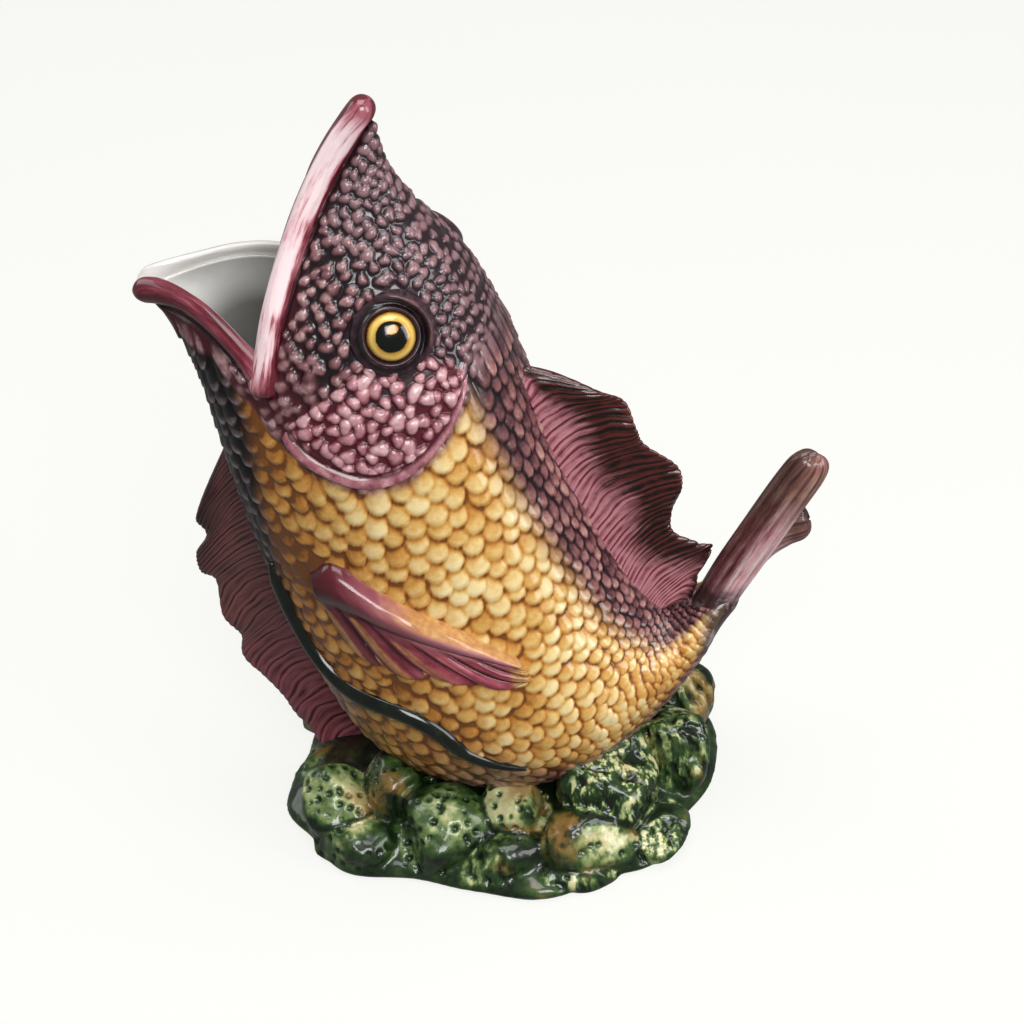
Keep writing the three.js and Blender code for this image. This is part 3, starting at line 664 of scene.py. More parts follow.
def fishGlaze():
    g = Glaze("fish_glaze", gloss=0.32)
    tip, tone, rise, pool = g.layers("tip", "tone", "rise", "pool")
    backTone, throatTone = g.layers("backTone", "throatTone")
    brush = g.noise(420, 4.0)
    fine = g.noise(1400, 2.0)
    patch = g.noise(38, 2.0)
    # toneAndShade: the glaze's own cream tips and random tone, with a painted highlight on the domes and
    # painted shade toward each scale's root under the row before and in pooled steps
    toneAndShade = tip * 0.34 + rise.between(0.0, 0.4) * 0.3 + 0.3
    toneAndShade = toneAndShade + (brush - 0.5) * 0.55 + (tone - 0.5) * 0.4 - pool * 0.8
    # darker toward the belly through lowTone
    creamToneAndShade = toneAndShade - 0.06 + (patch - 0.5) - g.layer("lowTone") * 0.52
    cream = g.ramp(creamToneAndShade, (0.0, "74431a"), (0.14, "9c6324"), (0.34, "bd8038"), (0.58, "d3a458"), (0.8, "e4c586"),
                   (1.0, "ecd6a0"))
    mauve = g.ramp(toneAndShade - 0.1 + (fine - 0.5) * 0.2, (0.0, "150a0f"), (0.3, "2f1b21"), (0.5, "5a373b"),
                   (0.72, "8b5d5b"), (1.0, "bf988c"))
    netted = g.ramp(tip + (brush - 0.5) * 0.5, (0.25, "0d0709"), (0.52, "241719"), (0.76, "665a5c"),
                    (1.0, "b3aaa9"))
    ground = g.mix(g.layer("cheek"), "1a0f13", "47131d")
    nodule, swell = noduleTint(g, brush, ground, "4a262d", (0.2, "654044"), (0.55, "8b6264"), (0.9, "c6a5a4"))
    # nodules on the back are dimmer, still lighter toward their tops as a painted highlight
    nodule = g.mix(backTone * 0.8, nodule, g.mix(swell.between(0.2, 1.0), "2b1c23", "86666b"))
    nodule = g.mix(g.layer("lipShade"), nodule, "2b181d")
    tint = g.mix(backTone, cream, mauve)
    tint = g.mix(g.layer("rootTone") * (brush + 0.35).smaller(1.0), tint, mauve)
    tint = g.mix(throatTone, tint, netted)
    tint = g.mix(g.layer("headTone"), tint, nodule)
    tint = g.mix(g.layer("stalkTone") * 0.9, tint, stalkClouds(g))
    return g.finish(tint, brush * 0.5 + fine * 0.25, 0.00022, 0.75 - throatTone * 0.55)


# Inside of the jug, from the rim down to the bottom of the hollow
inside = {"round": 144, "rows": 90, "rimSteps": (0.4, 2.5), "floorSteps": (0.7, 0.4, 0.12)}


def jugInside(glaze):
    angle = fullTurn(inside["round"]) - math.pi
    rim = rimAlong(angle)
    edge = [skin(rim, angle, -step) for step in (*inside["rimSteps"], fish["wall"])]
    down = np.linspace(0, 1, inside["rows"])[1:, None]
    along = rim[None, :] + (fish["hollowEnd"] - rim[None, :]) * down
    hollow = skin(along, np.broadcast_to(angle, along.shape), -fish["wall"])
    points = np.concatenate([np.stack(edge), hollow])
    floor = points[-1:].mean(1, keepdims=True)
    closing = [floor + (points[-1:] - floor) * share for share in inside["floorSteps"]]
    points = np.concatenate([points, *closing])
    inward = floor - points + np.array([0, 0, 60])
    depth = np.linalg.norm(points - points[:1], axis=-1)
    piece = gridMesh("jug_inside", points, {"depth": smooth(2, 120, depth)}, wrap=True, outward=inward)
    return place(piece, glaze, "scale_glaze", "body_shell")


def insideGlaze():
    g = Glaze("inside_glaze", gloss=0.22)
    tint = g.ramp(g.noise(60, 3.0), (0.3, "dddcd7"), (0.6, "e8e7e3"), (0.8, "e0d9d7"))
    depth = g.layer("depth")
    # darker from just below the rim into the hollow and lighter again at the bottom: painted shade inside the
    # jug
    deep = g.ramp(depth, (0.0, "e2e1dc"), (0.12, "8c8b86"), (0.35, "8f8e89"), (0.8, "e8e7e2"))
    tint = g.mix(depth.between(0.0, 0.12), tint, deep)
    specks = g.noise(300, 2.0).between(0.74, 0.8)
    return g.finish(g.mix(specks * 0.4, tint, "9a7f80"), g.noise(90, 2.0), 0.0003)


# Lips: a roll along the edge of each jaw, one for each side, closed and rounded at both ends
upperLip = {"radius": 4.3, "rise": 1.6, "snoutTurn": 0.3, "rows": 260, "round": 40}
lowerLip = {"radius": 3.4, "rise": 1.6, "bead": 4.6, "inner": 0.3, "farWhite": 0.75, "rows": 220, "round": 36}


def jawEdge(jaw, angle, back=0.0):
    return skin(jaw(angle) + back, angle, -fish["wall"] / 2)


def rollFrame(jaw, angle, mirror):
    step = 0.02
    point = jawEdge(jaw, angle)
    tangent = unit(jawEdge(jaw, angle + mirror * step) - jawEdge(jaw, angle - mirror * step))
    out = skinFrame(jaw(angle) + step / 2, angle)[2]
    out = unit(out - tangent * dot(out, tangent)[..., None])
    rise = np.cross(tangent, out)
    away = dot(rise, jawEdge(jaw, angle, step) - point)
    return point, tangent, out, rise * -np.sign(away)[..., None]


# inner is the share of the roll left inside the jug, paint how far the white comes over it
def roll(name, centre, out, rise, radius, reach, around, inner=1.0, paint=0.0):
    turn = fullTurn(around)
    sideways = np.sin(turn) * np.where(np.sin(turn) < 0, inner, 1.0)
    size = radius[:, None] * (1 + 0.02 * np.cos(7 * turn + 1.3)[None, :] * np.sin(reach[:, None] / 9))
    points = centre[:, None] + out[:, None] * (size * sideways)[..., None]
    points = points + rise[:, None] * (size * np.cos(turn))[..., None]
    flow = np.broadcast_arrays(4 * np.cos(turn), 4 * np.sin(turn), reach[:, None])
    layers = {"flow": np.stack(flow, -1), "outer": np.sin(turn) - paint, "crest": np.cos(turn),
              "run": (reach / reach[-1])[:, None]}
    return gridMesh(name, points, layers, wrap=True, caps=True)


def roundedEnds(reach, start, end):  # share of the radius left near each end
    first = np.sqrt(np.clip(1 - np.clip(1 - reach / start, 0, 1) ** 2, 0.02, 1))
    last = np.sqrt(np.clip(1 - np.clip(1 - (reach[-1] - reach) / end, 0, 1) ** 2, 0.02, 1))
    return first * last


def arcLength(points):
    return np.concatenate([[0], np.cumsum(np.linalg.norm(np.diff(points, axis=0), axis=-1))])


def upperLipRoll(label, mirror, glaze):
    snout = upperLip["snoutTurn"]
    angle = mirror * np.linspace(snout, fish["mouthCorner"] + 0.03, upperLip["rows"])
    point, tangent, out, rise = rollFrame(upperJaw, angle, mirror)
    tipReach = np.linalg.norm(point[0] - jawEdge(upperJaw, 0.0)) + 0.8 * upperLip["radius"]
    lead = np.linspace(tipReach, 0, 24)[:-1]
    point = np.concatenate([point[:1] - tangent[:1] * lead[:, None], point])
    out = np.concatenate([np.repeat(out[:1], len(lead), 0), out])
    rise = np.concatenate([np.repeat(rise[:1], len(lead), 0), rise])
    reach = arcLength(point)
    radius = upperLip["radius"] * roundedEnds(reach, 4.5, 3.5)
    radius = radius * (1 + 0.05 * np.sin(reach / 17) + 0.28 * smooth(16, 3, reach[-1] - reach))
    centre = point + rise * upperLip["rise"]
    piece = roll("upper_lip_" + label, centre, out, rise, radius, reach, upperLip["round"])
    return place(piece, glaze, "lip_glaze", "upper_lip")


def lowerLipRoll(label, mirror, glaze):
    angle = mirror * np.linspace(fish["mouthCorner"] + 0.01, math.pi - 0.02, lowerLip["rows"])
    point, _, out, rise = rollFrame(lowerJaw, angle, mirror)
    reach = arcLength(point)
    swell = blend(1.0, lowerLip["bead"] / lowerLip["radius"], smooth(26, 5, reach[-1] - reach))
    swell = swell + 0.4 * smooth(16, 2, reach)
    radius = lowerLip["radius"] * swell * roundedEnds(reach, 3.0, 4.5)
    centre = point + rise * lowerLip["rise"]
    piece = roll("lower_lip_" + label, centre, out, rise, radius, reach, lowerLip["round"], lowerLip["inner"],
                 lowerLip["farWhite"] if label == "left" else 0.0)
    return place(piece, glaze, "lip_glaze", "lower_lip")


def upperLipGlaze():
    g = Glaze("upper_lip_glaze", gloss=0.28)
    run, crest = g.layers("run", "crest")
    streak = g.noise(0.55, 4.0, g.flow(), (1.0, 1.0, 0.10), 0.6)
    blotch = g.noise(0.22, 3.0, g.flow(), (0.6, 0.6, 0.35))
    edge = (crest * crest).between(0.35, 0.95)
    wine = (streak * 1.4 + blotch * 0.8 + edge * 0.5 - 0.8).between(0.18, 0.85)
    ends = run.between(0.13, 0.0) * 0.8 + (run + (streak - 0.5) * 0.3).between(0.82, 1.0) * 0.85
    tint = g.ramp((wine + ends).smaller(1.0), (0.0, "f1dadc"), (0.3, "e0b6bc"), (0.6, "ae6672"),
                  (1.0, "611c28"))
    return g.finish(tint, streak, 0.0003)


def lowerLipGlaze():
    g = Glaze("lower_lip_glaze", gloss=0.28)
    run, outer = g.layers("run", "outer")
    streak = g.noise(0.6, 4.0, g.flow(), (1.0, 1.0, 0.12), 0.6)
    tint = g.ramp(streak + run.between(0.2, 0.0) * 0.3, (0.25, "360d15"), (0.45, "621f2b"), (0.6, "823845"),
                  (0.85, "b8767e"))
    inner = (outer + (streak - 0.5) * 0.3).between(0.12, -0.3)
    return g.finish(g.mix(inner, tint, "e6e2de"), streak, 0.0003)


# Eyes: a painted dome in a raised lid, on a round grid without a pole
def discGrid(count):
    line = np.linspace(-1, 1, count)
    x, y = np.meshgrid(line, line)
    return x * np.sqrt(1 - y * y / 2), y * np.sqrt(1 - x * x / 2)


def eyeFrame(mirror):
    point, tailward, outward = skinFrame(eye["along"], mirror * eye["angle"])
    backward = -mirror * np.cross(outward, tailward)
    return point, tailward, backward, outward


def eyeball(label, mirror, glaze):
    point, tailward, backward, outward = eyeFrame(mirror)
    x, y = discGrid(61)
    far = np.clip(x * x + y * y, 0, 1)
    level = eye["seat"] + eye["dome"] * np.sqrt(1 - far * 0.985) - far**6
    flat = point + eye["radius"] * (x[..., None] * tailward + y[..., None] * backward)
    points = flat + outward * level[..., None]
    flow = np.stack([x, y, 0 * x], -1)
    piece = gridMesh("eye_" + label + "_dome", points, {"flow": flow}, outward=outward)
    return place(piece, glaze, "eye_glaze", "eye_" + label)


lid = {
    "inner": 7.5, "outer": 13.4, "browOut": 2.2, "browTurn": 1.78, "rows": 66, "round": 144,
    "crest": 1.3, "crestAt": 8.9, "brow": 3.4, "browAt": 12.4, "trough": 0.9, "troughAt": 10.4,
}


def browShare(turn):  # 1 on the side of the back
    return smooth(0.05, 0.95, np.cos(turn - lid["browTurn"]))


def lidReach(turn):
    return lid["outer"] + lid["browOut"] * browShare(turn)


def eyelid(label, mirror, glaze):
    point, tailward, backward, outward = eyeFrame(mirror)
    turn = fullTurn(lid["round"])[None, :]
    share = np.linspace(0, 1, lid["rows"])[:, None]
    brow = browShare(turn)
    outer = lidReach(turn)
    reach = blend(lid["inner"], outer, share)
    ring = lid["crest"] * bump(reach, lid["crestAt"], 0.9) * (1 - 0.45 * brow)
    arch = lid["brow"] * brow * bump(reach, lid["browAt"], 1.4)
    trough = lid["trough"] * bump(reach, lid["troughAt"], 0.8) * brow
    level = 0.4 + 0.6 * smooth(-0.4, -3.4, reach - outer) + ring + arch - trough
    level = level - 2.2 * smooth(-1.2, 0.0, reach - outer) - 1.4 * smooth(8.1, 7.5, reach)
    direction = np.cos(turn)[..., None] * tailward + np.sin(turn)[..., None] * backward
    flat = point + direction * reach[..., None]
    droop = dot(flat - point, flat - point) / 110  # the head curves away under the lid
    points = flat + outward * (level - droop * 0.8)[..., None]
    layers = {"arch": brow * bump(reach, lid["browAt"], 1.1), "trough": bump(reach, 10.3, 0.9)}
    piece = gridMesh("eyelid_" + label + "_ring", points, layers, wrap=True, outward=outward)
    return place(piece, glaze, "head_glaze", "eyelid_" + label)


def eyeGlaze():
    g = Glaze("eye_glaze", gloss=0.15)
    flow = g.flow()
    x, y = (g.node("ShaderNodeSeparateXYZ", {}, {"Vector": flow}, output=axis) for axis in "XY")
    swirl = g.noise(2.4, 3.0, flow)
    far = (x * x + y * y) ** 0.5
    ring = far + (swirl - 0.5) * 0.10
    iris = g.ramp(ring, (0.5, "6b4410"), (0.6, "a06e20"), (0.68, "c99a3f"), (0.8, "e6c870"), (0.9, "d0a046"),
                  (0.97, "664212"))
    pupil = (ring + x * 0.06).between(0.64, 0.6)
    wedge = ((x + 0.28) * (x + 0.28) * 24 + (y - 0.16) * (y - 0.16) * 14).between(0.9, 0.6)
    tint = g.mix(pupil, iris, g.mix(wedge, "080b07", "c9852c"))
    return g.finish(tint, swirl, 0.0001)


def lidGlaze():
    g = Glaze("lid_glaze", gloss=0.3)
    brush = g.noise(260, 4.0)
    arch, trough = g.layers("arch", "trough")
    # lighter on the brow arch as a painted highlight, darker in the trough beside the eye as painted shade
    tint = g.ramp(brush + arch * 0.3 - trough * 0.3, (0.2, "10080b"), (0.45, "2a1a20"), (0.7, "422d34"),
                  (1.0, "7a5a5d"))
    return g.finish(tint, brush, 0.0002)


# Gill covers: raised plates with large nodules and a smooth rolled edge
gill = {
    "inner": 13.2, "thickness": 1.0, "rows": 300, "across": 170, "sink": (0.6, 2.6),  # at both edges
    "ridge": 0.8, "ridgeAt": 0.945, "crease": 0.5, "creaseAt": 0.872,
}


def gillPlace(u, v):
    edge = through(gillEdge * (1, math.pi / 180), u)
    outer = skin(edge[..., 0], edge[..., 1])
    span = np.linalg.norm(outer - skin(eye["along"], eye["angle"]), axis=-1)
    share = blend(gill["inner"] / span, 1.0, v)
    return blend(eye["along"], edge[..., 0], share), blend(eye["angle"], edge[..., 1], share)


def gillCover(label, mirror, stamps, glaze):
    u, v = unitGrid(gill["rows"], gill["across"])
    along, angle = gillPlace(u, v)
    flat, _, outward = skinFrame(along, mirror * angle)
    layers = stampShapes(flat, stamps, mirror)
    inner = smooth(0.0, 0.34, v) * smooth(0.0, 0.08, u) * smooth(1.0, 0.92, u)
    plain = smooth(0.86, 0.82, v)
    relief = (layers.pop("height") - hollowLevel) * plain
    edge = gill["ridge"] * bump(v, gill["ridgeAt"], 0.045) - gill["crease"] * bump(v, gill["creaseAt"], 0.02)
    plate = blend(-gill["sink"][0], gill["thickness"] * (0.55 + 0.45 * v) + edge, inner)
    level = plate + relief * blend(0.85, 1, inner) - gill["sink"][1] * smooth(0.965, 1.0, v)
    points = flat + outward * level[..., None]
    layers["rise"] = layers["rise"] * plain
    layers["edge"] = smooth(0.86, 0.9, v)
    layers["crease"] = bump(v, gill["creaseAt"], 0.022)
    layers["wine"] = smooth(0.1, 0.6, v)
    # pool darkens the hollows between the nodules: glaze pooling together with painted shade
    layers["pool"] = np.clip((blurred(level, 3) - level) * 2.0, 0, 1)
    piece = gridMesh("gill_plate_" + label, points, layers, outward=outward)
    return place(piece, glaze, "gill_glaze", "gill_cover_" + label)


def gillGlaze():
    g = Glaze("gill_glaze", gloss=0.3)
    brush = g.noise(380, 4.0)
    ground = g.mix(g.layer("wine"), "2a181e", "541824")
    tint, _ = noduleTint(g, brush, ground, "753641", (0.2, "9c646b"), (0.55, "bd898f"), (0.9, "e0bfbf"))
    strokes = g.noise(250, 3.0) + (brush - 0.5) * 0.3
    tint = g.mix(g.layer("edge"), tint, g.ramp(strokes, (0.3, "7c414c"), (0.5, "a66a73"), (0.7, "c69398")))
    # the dark line along the crease is painted shade in the groove
    tint = g.mix(g.layer("crease") * 0.75, tint, "4b1822")
    return g.finish(tint, brush, 0.0002)


# Fins on the back and the belly: pleated webs with fine rays
fin = {
    "rows": 600, "across": 80, "sink": 3.5, "thickness": (9, 3.4),  # at the root and the edge
    "fingers": 13, "fingerStart": 0.2,
}
dorsal = {
    "root": (0.37, 0.745), "turn": 0.0, "rays": 46, "bend": 0.05, "ridge": 0.45, "fold": 1.2,
    "fingers": 2.6, "sweep": 0.0,
    "edge": [(0, 3), (0, 21), (-3, 28), (-4, 29), (-9, 29), (-7, 35), (-10, 34), (-9, 25), (-9, 23), (-3, 30),
             (1, 26), (7, 9)],
}
belly = {
    "root": (0.265, 0.665), "turn": math.pi, "rays": 54, "bend": 0.04, "ridge": 0.5, "fold": 1.0,
    "fingers": 0.4, "sweep": 5.0,
    "edge": [(11, 5), (24, 20), (25, 25), (23, 24), (19, 30), (17, 32), (12, 29), (15, 32), (15, 29), (12, 34),
             (6, 31), (2, 28), (-4, 29), (-12, 29), (-24, 25)],
}


def finWeb(name, spec, glaze, node):
    u = np.linspace(0, 1, fin["rows"])[:, None]
    v = 1 - (1 - np.linspace(0, 1, fin["across"])[None, :]) ** 1.35
    along = blend(*spec["root"], u[:, 0])
    turn = np.full(along.shape, spec["turn"])
    skinPoint, tailward, outward = skinFrame(along, turn)
    lean, high = through(spec["edge"], u[:, 0]).T
    foot = skin(along, turn, -fin["sink"])
    tip = skinPoint + tailward * lean[:, None] + outward * high[:, None]
    flat = foot[:, None] + (tip - foot)[:, None] * v[..., None]
    wander = waves(flat, 16, 5) * 0.5 + waves(flat, 6, 6) * 0.22
    count = spec["rays"] * (u + spec["bend"] * v * (1 - v) * 4) + wander * smooth(0.02, 0.35, v)
    uneven = 0.65 + 0.35 * waves(flat + 40, 5, 8)
    ray = 1 - (1 - np.abs(np.cos(math.pi * count)) ** 0.75) * uneven
    fineRay = np.abs(np.cos(1.5 * math.pi * count + 0.7 + wander))
    strength = spec["ridge"] * smooth(0.02, 0.5, v) * smooth(1.02, 0.9, v)
    ridge = strength * (ray - 0.55 + 0.22 * fineRay)
    ends = smooth(0.0, 0.03, u) * smooth(1.0, 0.97, u)
    rounding = np.sqrt(np.clip(1 - v**9, 0, 1))
    half = blend(*fin["thickness"], np.sqrt(v)) / 2 * rounding
    half = np.maximum(half + ridge * rounding, 0) * np.sqrt(0.15 + 0.85 * ends)
    fold = spec["fold"] * v**1.3 * (np.cos(2 * math.pi * 4.5 * u + 0.6) + 0.5 * np.sin(2 * math.pi * 7 * u))
    fold = fold - spec["sweep"] * smooth(0.6, 1.0, u) * v  # toward the near side
    finger = np.abs(np.cos(math.pi * (fin["fingers"] * u + fin["fingerStart"]))) ** 0.7 - 0.6
    scallop = ((ray - 0.6) * 0.5 + finger * spec["fingers"] * smooth(0.74, 0.84, u)) * smooth(0.7, 1, v)
    flat = flat + unit(tip - foot)[:, None] * (scallop * ends)[..., None]
    near = flat + np.array([0, -1, 0]) * (half - fold)[..., None]
    far = flat + np.array([0, 1, 0]) * (half + fold)[..., None]
    points = np.concatenate([near, far[:, -2::-1]], 1)

    def both(values):
        values = np.broadcast_to(values, flat.shape[:2])
        return np.concatenate([values, values[:, -2::-1]], 1)

    layers = {"ray": both(ray), "fineRay": both(fineRay), "reach": both(v), "run": both(u),
              "flow": np.stack([both(count), both(v), both(u)], -1)}
    return place(gridMesh(name, points, layers, wrap=True, caps=True), glaze, "fin_glaze", node)


def dorsalGlaze():
    g = Glaze("dorsal_glaze", gloss=0.3)
    ray, fineRay, reach, run = g.layers("ray", "fineRay", "reach", "run")
    streak = g.noise(1.0, 4.0, g.flow(), (2.2, 3.0, 4.0), 0.6)
    brush = g.noise(300, 4.0)
    dark = (reach * 1.3 + (streak - 0.5) * 0.9 - run.between(0.62, 0.95) * 0.45).between(0.32, 0.85)
    # crest: the glaze's stripes along the rays, lighter on the ray crests as a painted highlight and darker in
    # the grooves as painted shade
    crest = (ray * 0.75 + fineRay * 0.25 + (brush - 0.5) * 0.5).between(0.45, 0.95)
    rosy = g.mix(crest, "762a38", "cc8b94")
    deep = g.mix(crest ** 3.0, "0c0202", "541f1a")
    tint = g.mix(dark, rosy, deep)
    rim = (reach + (brush - 0.5) * 0.05).between(0.93, 0.99)
    tint = g.mix(rim * 0.5, tint, "4f1d19")
    return g.finish(tint, streak * 0.6 + brush * 0.4, 0.00025)


def bellyGlaze():
    g = Glaze("belly_fin_glaze", gloss=0.3)
    ray, fineRay, reach, run = g.layers("ray", "fineRay", "reach", "run")
    streak = g.noise(1.0, 4.0, g.flow(), (2.0, 3.0, 4.0), 0.6)
    brush = g.noise(300, 4.0)
    # crest: the glaze's stripes along the rays, lighter on the ray crests as a painted highlight and darker in
    # the grooves as painted shade
    crest = (ray * 0.7 + fineRay * 0.3 + (streak - 0.5) * 0.8).between(0.35, 1.0)
    upper = g.mix(crest, "280c0f", "85504f")
    lower = g.mix(crest, "46121c", "a05560")
    tint = g.mix((run + (streak - 0.5) * 0.3).between(0.5, 0.85), upper, lower)
    shade = (reach * (1.15 - run * 1.4) + (streak - 0.5) * 0.5).between(0.35, 0.9)
    tint = g.mix(shade * 0.75, tint, "200709")
    return g.finish(tint, streak * 0.6 + brush * 0.4, 0.00025)


# Pectoral fins: leaves on the flanks with a rolled upper rib and feathered rays
pectoral = {
    "turn": (116, 60), "rows": 260, "across": 150, "seat": 1.5, "sink": 1.3,
    "upper": (0.405, 0.402, 0.438, 0.478, 0.517, 0.572), "lower": (0.475, 0.518, 0.538, 0.557, 0.588, 0.604),
    "thickness": 2.0, "rib": 3.2, "ribPlace": 0.22, "ribWidth": 0.17,
    "rays": 6, "sweep": (0.08, 0.55), "cut": 1.7, "scallop": 0.013,
}


def pectoralFin(label, mirror, glaze):
    u, v = unitGrid(pectoral["rows"], pectoral["across"])
    sweep = pectoral["sweep"][0] + pectoral["sweep"][1] * u
    phase = pectoral["rays"] * (u - sweep * (v - 0.4)) + 0.3
    lobe = np.abs(np.sin(math.pi * phase)) ** 0.6
    fine = np.abs(np.sin(3 * math.pi * phase + 3 * v))
    feather = smooth(0.36, 0.56, v + 0.05 * np.sin(9 * u))
    upper, lower = (through(np.array(pectoral[name])[:, None], u)[..., 0] for name in ("upper", "lower"))
    scallop = pectoral["scallop"] * (lobe - 0.6) * feather * smooth(0.6, 1.0, v)
    along = blend(upper, lower, v) + scallop * np.sin(math.pi * np.clip(u + 0.03, 0, 1))
    angle = mirror * np.radians(blend(*pectoral["turn"], u))
    flat, _, outward = skinFrame(along, angle)
    crown = np.sin(math.pi * np.sqrt(0.08 + 0.84 * v)) * (0.6 + 0.4 * np.sin(math.pi * u))
    rib = bump(v, pectoral["ribPlace"], pectoral["ribWidth"])
    fold = bump(v, 0.47 - 0.1 * u, 0.035) * smooth(0.05, 0.25, u)
    level = pectoral["seat"] + pectoral["thickness"] * crown
    level = level + pectoral["rib"] * rib * (0.75 + 0.25 * np.sin(math.pi * u))
    level = level - pectoral["cut"] * (1 - lobe) * feather * smooth(1.02, 0.85, u)
    level = level + 0.25 * (fine - 0.5) * feather - 0.7 * fold + 0.3 * waves(flat, 5, 17) * rib
    margin = np.minimum(np.minimum(u / 0.06, (1 - u) / 0.03), np.minimum(v / 0.1, (1 - v) / 0.06))
    margin = np.sqrt(np.clip(1 - (1 - np.clip(margin, 0, 1)) ** 2, 0, 1))
    level = blend(-pectoral["sink"], level, margin)
    points = flat + outward * level[..., None]
    # crease and pool mark the grooves between the feathers and the hollows, which the glaze darkens as painted
    # shade
    layers = {
        "crease": np.clip((1 - lobe) * feather + 0.6 * fold, 0, 1), "rim": 1 - margin, "run": u, "reach": v,
        "feather": feather, "pool": np.clip((blurred(level, 4) - level) * 0.9, 0, 1), "lobe": lobe * feather,
        "flow": np.stack([phase, v * 3, u * 4], -1),
    }
    piece = gridMesh("pectoral_leaf_" + label, points, layers, outward=outward)
    return place(piece, glaze, "fin_glaze", "pectoral_fin_" + label)


def pectoralGlaze():
    g = Glaze("pectoral_glaze", gloss=0.28)
    crease, rim, run, reach = g.layers("crease", "rim", "run", "reach")
    pool, feather, lobe = g.layers("pool", "feather", "lobe")
    streak = g.noise(1.0, 4.0, g.flow(), (1.6, 1.2, 1.0), 0.6)
    brush = g.noise(320, 4.0)
    along = run + (streak - 0.5) * 0.25
    rolled = g.ramp(along, (0.02, "3d0f16"), (0.25, "60212b"), (0.5, "a05b65"), (0.8, "cb848d"))
    web = g.ramp(streak * 0.9 + (brush - 0.5) * 0.3, (0.2, "5c1b27"), (0.45, "95404e"), (0.65, "b8646f"),
                 (0.9, "d8a3a3"))
    ochre = g.ramp(brush + (streak - 0.5) * 0.4, (0.2, "9c6430"), (0.5, "c79350"), (0.8, "e2bd7e"))
    web = g.mix(along.between(0.5, 0.15) * 0.7, web, "4a1a1f")
    tint = g.mix(feather, rolled, web)
    upper = (reach + (streak - 0.5) * 0.08).between(0.24, 0.14) * along.between(0.4, 0.62)
    tip = (run + (reach - 0.5) * 0.1).between(0.9, 0.97)
    tint = g.mix((upper + tip).smaller(1.0) * 0.9, tint, ochre)
    edge = lobe.between(0.86, 1.0) * (1 - along.between(0.3, 0.75)) * 0.8
    tint = g.mix((edge + rim.between(0.35, 0.9) * along.between(0.2, 0.5)).smaller(1.0) * 0.8, tint, ochre)
    # painted shade in the creases and hollows
    tint = g.mix((crease * 1.2 + pool * 0.8).between(0.3, 1.0) * 0.85, tint, "350d15")
    return g.finish(tint, streak, 0.0003)


# Weed strands: dark glossy bands down each flank
weed = {
    "route": [(0.4, 141), (0.475, 140), (0.531, 128), (0.568, 107), (0.599, 99), (0.641, 98), (0.695, 93)],
    "halfWidth": 3.6, "height": 2.4, "sink": 1.2, "seat": 1.1, "rows": 260, "round": 28,
}


def weedStrand(label, mirror, glaze):
    share = np.linspace(0, 1, weed["rows"])
    along, degrees = through(weed["route"], share).T
    angle = mirror * np.radians(degrees)
    middle, _, out = skinFrame(along, angle)
    tangent = unit(np.gradient(middle, axis=0))
    across = unit(np.cross(out, tangent))
    taper = np.maximum(0.12, np.sin(math.pi * (0.03 + 0.94 * share)) ** 0.6)
    taper = np.where(share < 0.5, np.maximum(taper, 0.9 * smooth(-0.02, 0.05, share)), taper)
    taper = taper * (1 + 0.06 * np.sin(share * 19))
    turn = fullTurn(weed["round"])
    thick = (weed["height"] * taper + weed["sink"])[:, None]
    high = thick * np.clip(np.sin(turn), -0.25, 1)[None, :] - weed["sink"] + weed["seat"]
    wide = (weed["halfWidth"] * taper)[:, None] * np.cos(turn)[None, :]
    points = middle[:, None] + across[:, None] * wide[..., None] + out[:, None] * high[..., None]
    piece = gridMesh("weed_band_" + label, points, wrap=True, caps=True)
    return place(piece, glaze, "weed_glaze", "weed_strand_" + label)


def weedGlaze():
    g = Glaze("weed_glaze", gloss=0.2)
    brush = g.noise(180, 4.0)
    tint = g.ramp(brush, (0.3, "070a07"), (0.6, "121a10"), (0.8, "24321c"))
    return g.finish(tint, brush, 0.0002)


# Tail: two flattened bars with strokes along them
tail = {"rows": 150, "round": 72}
upperTail = {
    "reach": 62, "width": 14.6, "thickness": 11, "roll": 0.2, "neck": 1.0,
    "line": [(-0.12, -0.02, -0.06), (0.015, -0.03, 0.205), (0.17, -0.06, 0.5), (0.325, -0.08, 0.79),
             (0.468, -0.08, 1.03)],
}
lowerTail = {
    "reach": 25, "width": 13.5, "thickness": 8, "roll": -0.25, "neck": 0.65,
    "line": [(-0.16, 0.08, -0.1), (0.2, 0.36, 0.5), (0.6, 0.56, 0.74), (1, 0.72, 0.78)],
}
tailRoot = skin(1.0, np.array([0.0, math.pi])).mean(0)


